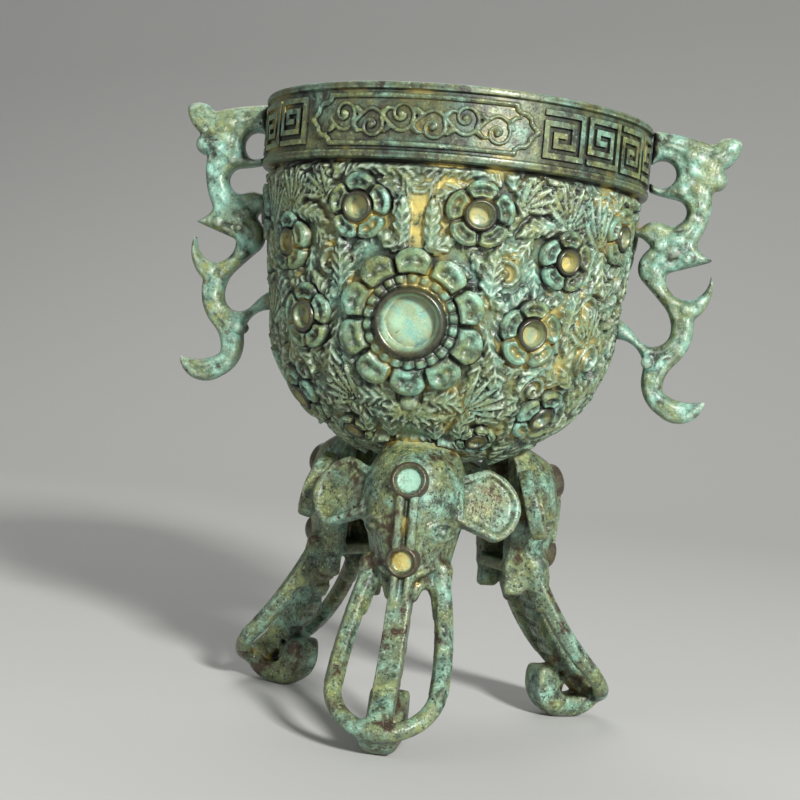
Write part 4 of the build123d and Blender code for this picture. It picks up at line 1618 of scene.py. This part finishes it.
@dataclass(frozen=True)
class Studio:
    """Pale seamless paper, soft lamps and the camera.

    The paper is sized in metres, and the camera's place in millimetres round the cup's axis.
    """

    paper: MattPaper = MattPaper()
    paper_half: float = 3.0
    paper_front: float = -2.5
    paper_bend: float = 0.5
    paper_radius: float = 1.0
    paper_top: float = 2.6
    lamps: tuple[Lamp, ...] = (
        Lamp("key", (0.57, -0.91, 0.52), 0.16, 22.5),
        Lamp("fill", (-0.9, -0.8, 0.4), 0.8, 2.0),
        Lamp("back", (-0.2, 0.6, 0.9), 0.6, 3.0),
    )
    lamp_aim: float = 0.07
    sky: str = "#e4e6e8"
    sky_strength: float = 0.3
    distance: float = 342.28
    elevation: float = 1.09
    azimuth: float = 8.1
    roll: float = 5.1
    lens: float = 73.9
    sensor: float = 36.0
    clip_start: float = 0.01
    aim_across: float = -7.27
    aim_level: float = 65.43

    def build_paper(self) -> bpy.types.Object:
        """Extrudes a floor that bends up into a backdrop.

        Returns:
            The paper.
        """
        bm = bmesh.new()
        radius = self.paper_radius
        bend = [(self.paper_bend + radius * math.sin(a), radius - radius * math.cos(a))
                for a in np.linspace(0, math.pi / 2, 25)]
        line = [(self.paper_front, 0.0), *bend, (self.paper_bend + radius, self.paper_top)]
        chain = [bm.verts.new((-self.paper_half, y, z)) for y, z in line]
        edges = [bm.edges.new(pair) for pair in zip(chain, chain[1:])]
        made = bmesh.ops.extrude_edge_only(bm, edges=edges)
        bmesh.ops.translate(bm, vec=(2 * self.paper_half, 0, 0),
                            verts=[v for v in made["geom"] if isinstance(v, BMVert)])
        bmesh.ops.recalc_face_normals(bm, faces=bm.faces)
        mesh = smooth_mesh("paper", bm)
        mesh.materials.append(self.paper.build())
        paper = add_object("paper", mesh)
        return paper

    def add_lamp(self, lamp: Lamp) -> None:
        """Adds a lamp that shines at the cup.

        Args:
            lamp: The lamp.
        """
        data = bpy.data.lights.new(lamp.name, "AREA")
        data.size = lamp.size
        data.energy = lamp.power
        made = add_object(lamp.name, data)
        made.location = lamp.place
        aim = Vector((0, 0, self.lamp_aim)) - Vector(lamp.place)
        made.rotation_euler = aim.to_track_quat("-Z", "Y").to_euler()

    def add_camera(self) -> None:
        """Adds the camera at the photograph's viewing angle."""
        azimuth, elevation, roll = (math.radians(a) for a in (self.azimuth, self.elevation, self.roll))
        back = Vector((math.sin(azimuth) * math.cos(elevation), -math.cos(azimuth) * math.cos(elevation),
                       math.sin(elevation)))
        right = Vector((math.cos(azimuth), math.sin(azimuth), 0))
        up = back.cross(right)
        across = right * math.cos(roll) + up * math.sin(roll)
        upright = up * math.cos(roll) - right * math.sin(roll)
        place = right * self.aim_across + Vector((0, 0, self.aim_level)) + back * self.distance
        data = bpy.data.cameras.new("camera")
        data.lens = self.lens
        data.sensor_width = self.sensor
        data.clip_start = self.clip_start
        camera = add_object("camera", data)
        camera.matrix_world = Matrix.Translation(PLACE @ place) @ Matrix(
            (across, upright, back)).transposed().to_4x4()
        bpy.context.scene.camera = camera

    def build(self) -> None:
        """Sets up paper, lamps, sky and camera."""
        self.build_paper()
        for lamp in self.lamps:
            self.add_lamp(lamp)
        world = bpy.data.worlds.new("studio")
        world.use_nodes = True
        sky = world.node_tree.nodes["Background"]
        sky.inputs["Color"].default_value = linear(self.sky)
        sky.inputs["Strength"].default_value = self.sky_strength
        bpy.context.scene.world = world
        bpy.context.scene.view_settings.view_transform = "Standard"
        self.add_camera()


def main() -> None:
    """Builds the cup's pieces in order, then the studio."""
    logging.basicConfig(level=logging.INFO, format="%(name)s %(message)s")
    BowlOrnament(RELIEF_BRONZE.build()).build()
    RimBand(BAND_BRONZE.build(), LINING_BRONZE.build()).build()
    handles = HANDLE_BRONZE.build()
    for side in (1, -1):
        DragonHandle(handles, side).build()
    legs = LEG_BRONZE.build()
    for name, turn in (("front", -90.0), ("right", 30.0), ("left", 150.0)):
        ElephantLeg(legs, name, turn).build()
    Studio().build()
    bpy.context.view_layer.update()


if __name__ == "__main__":
    main()
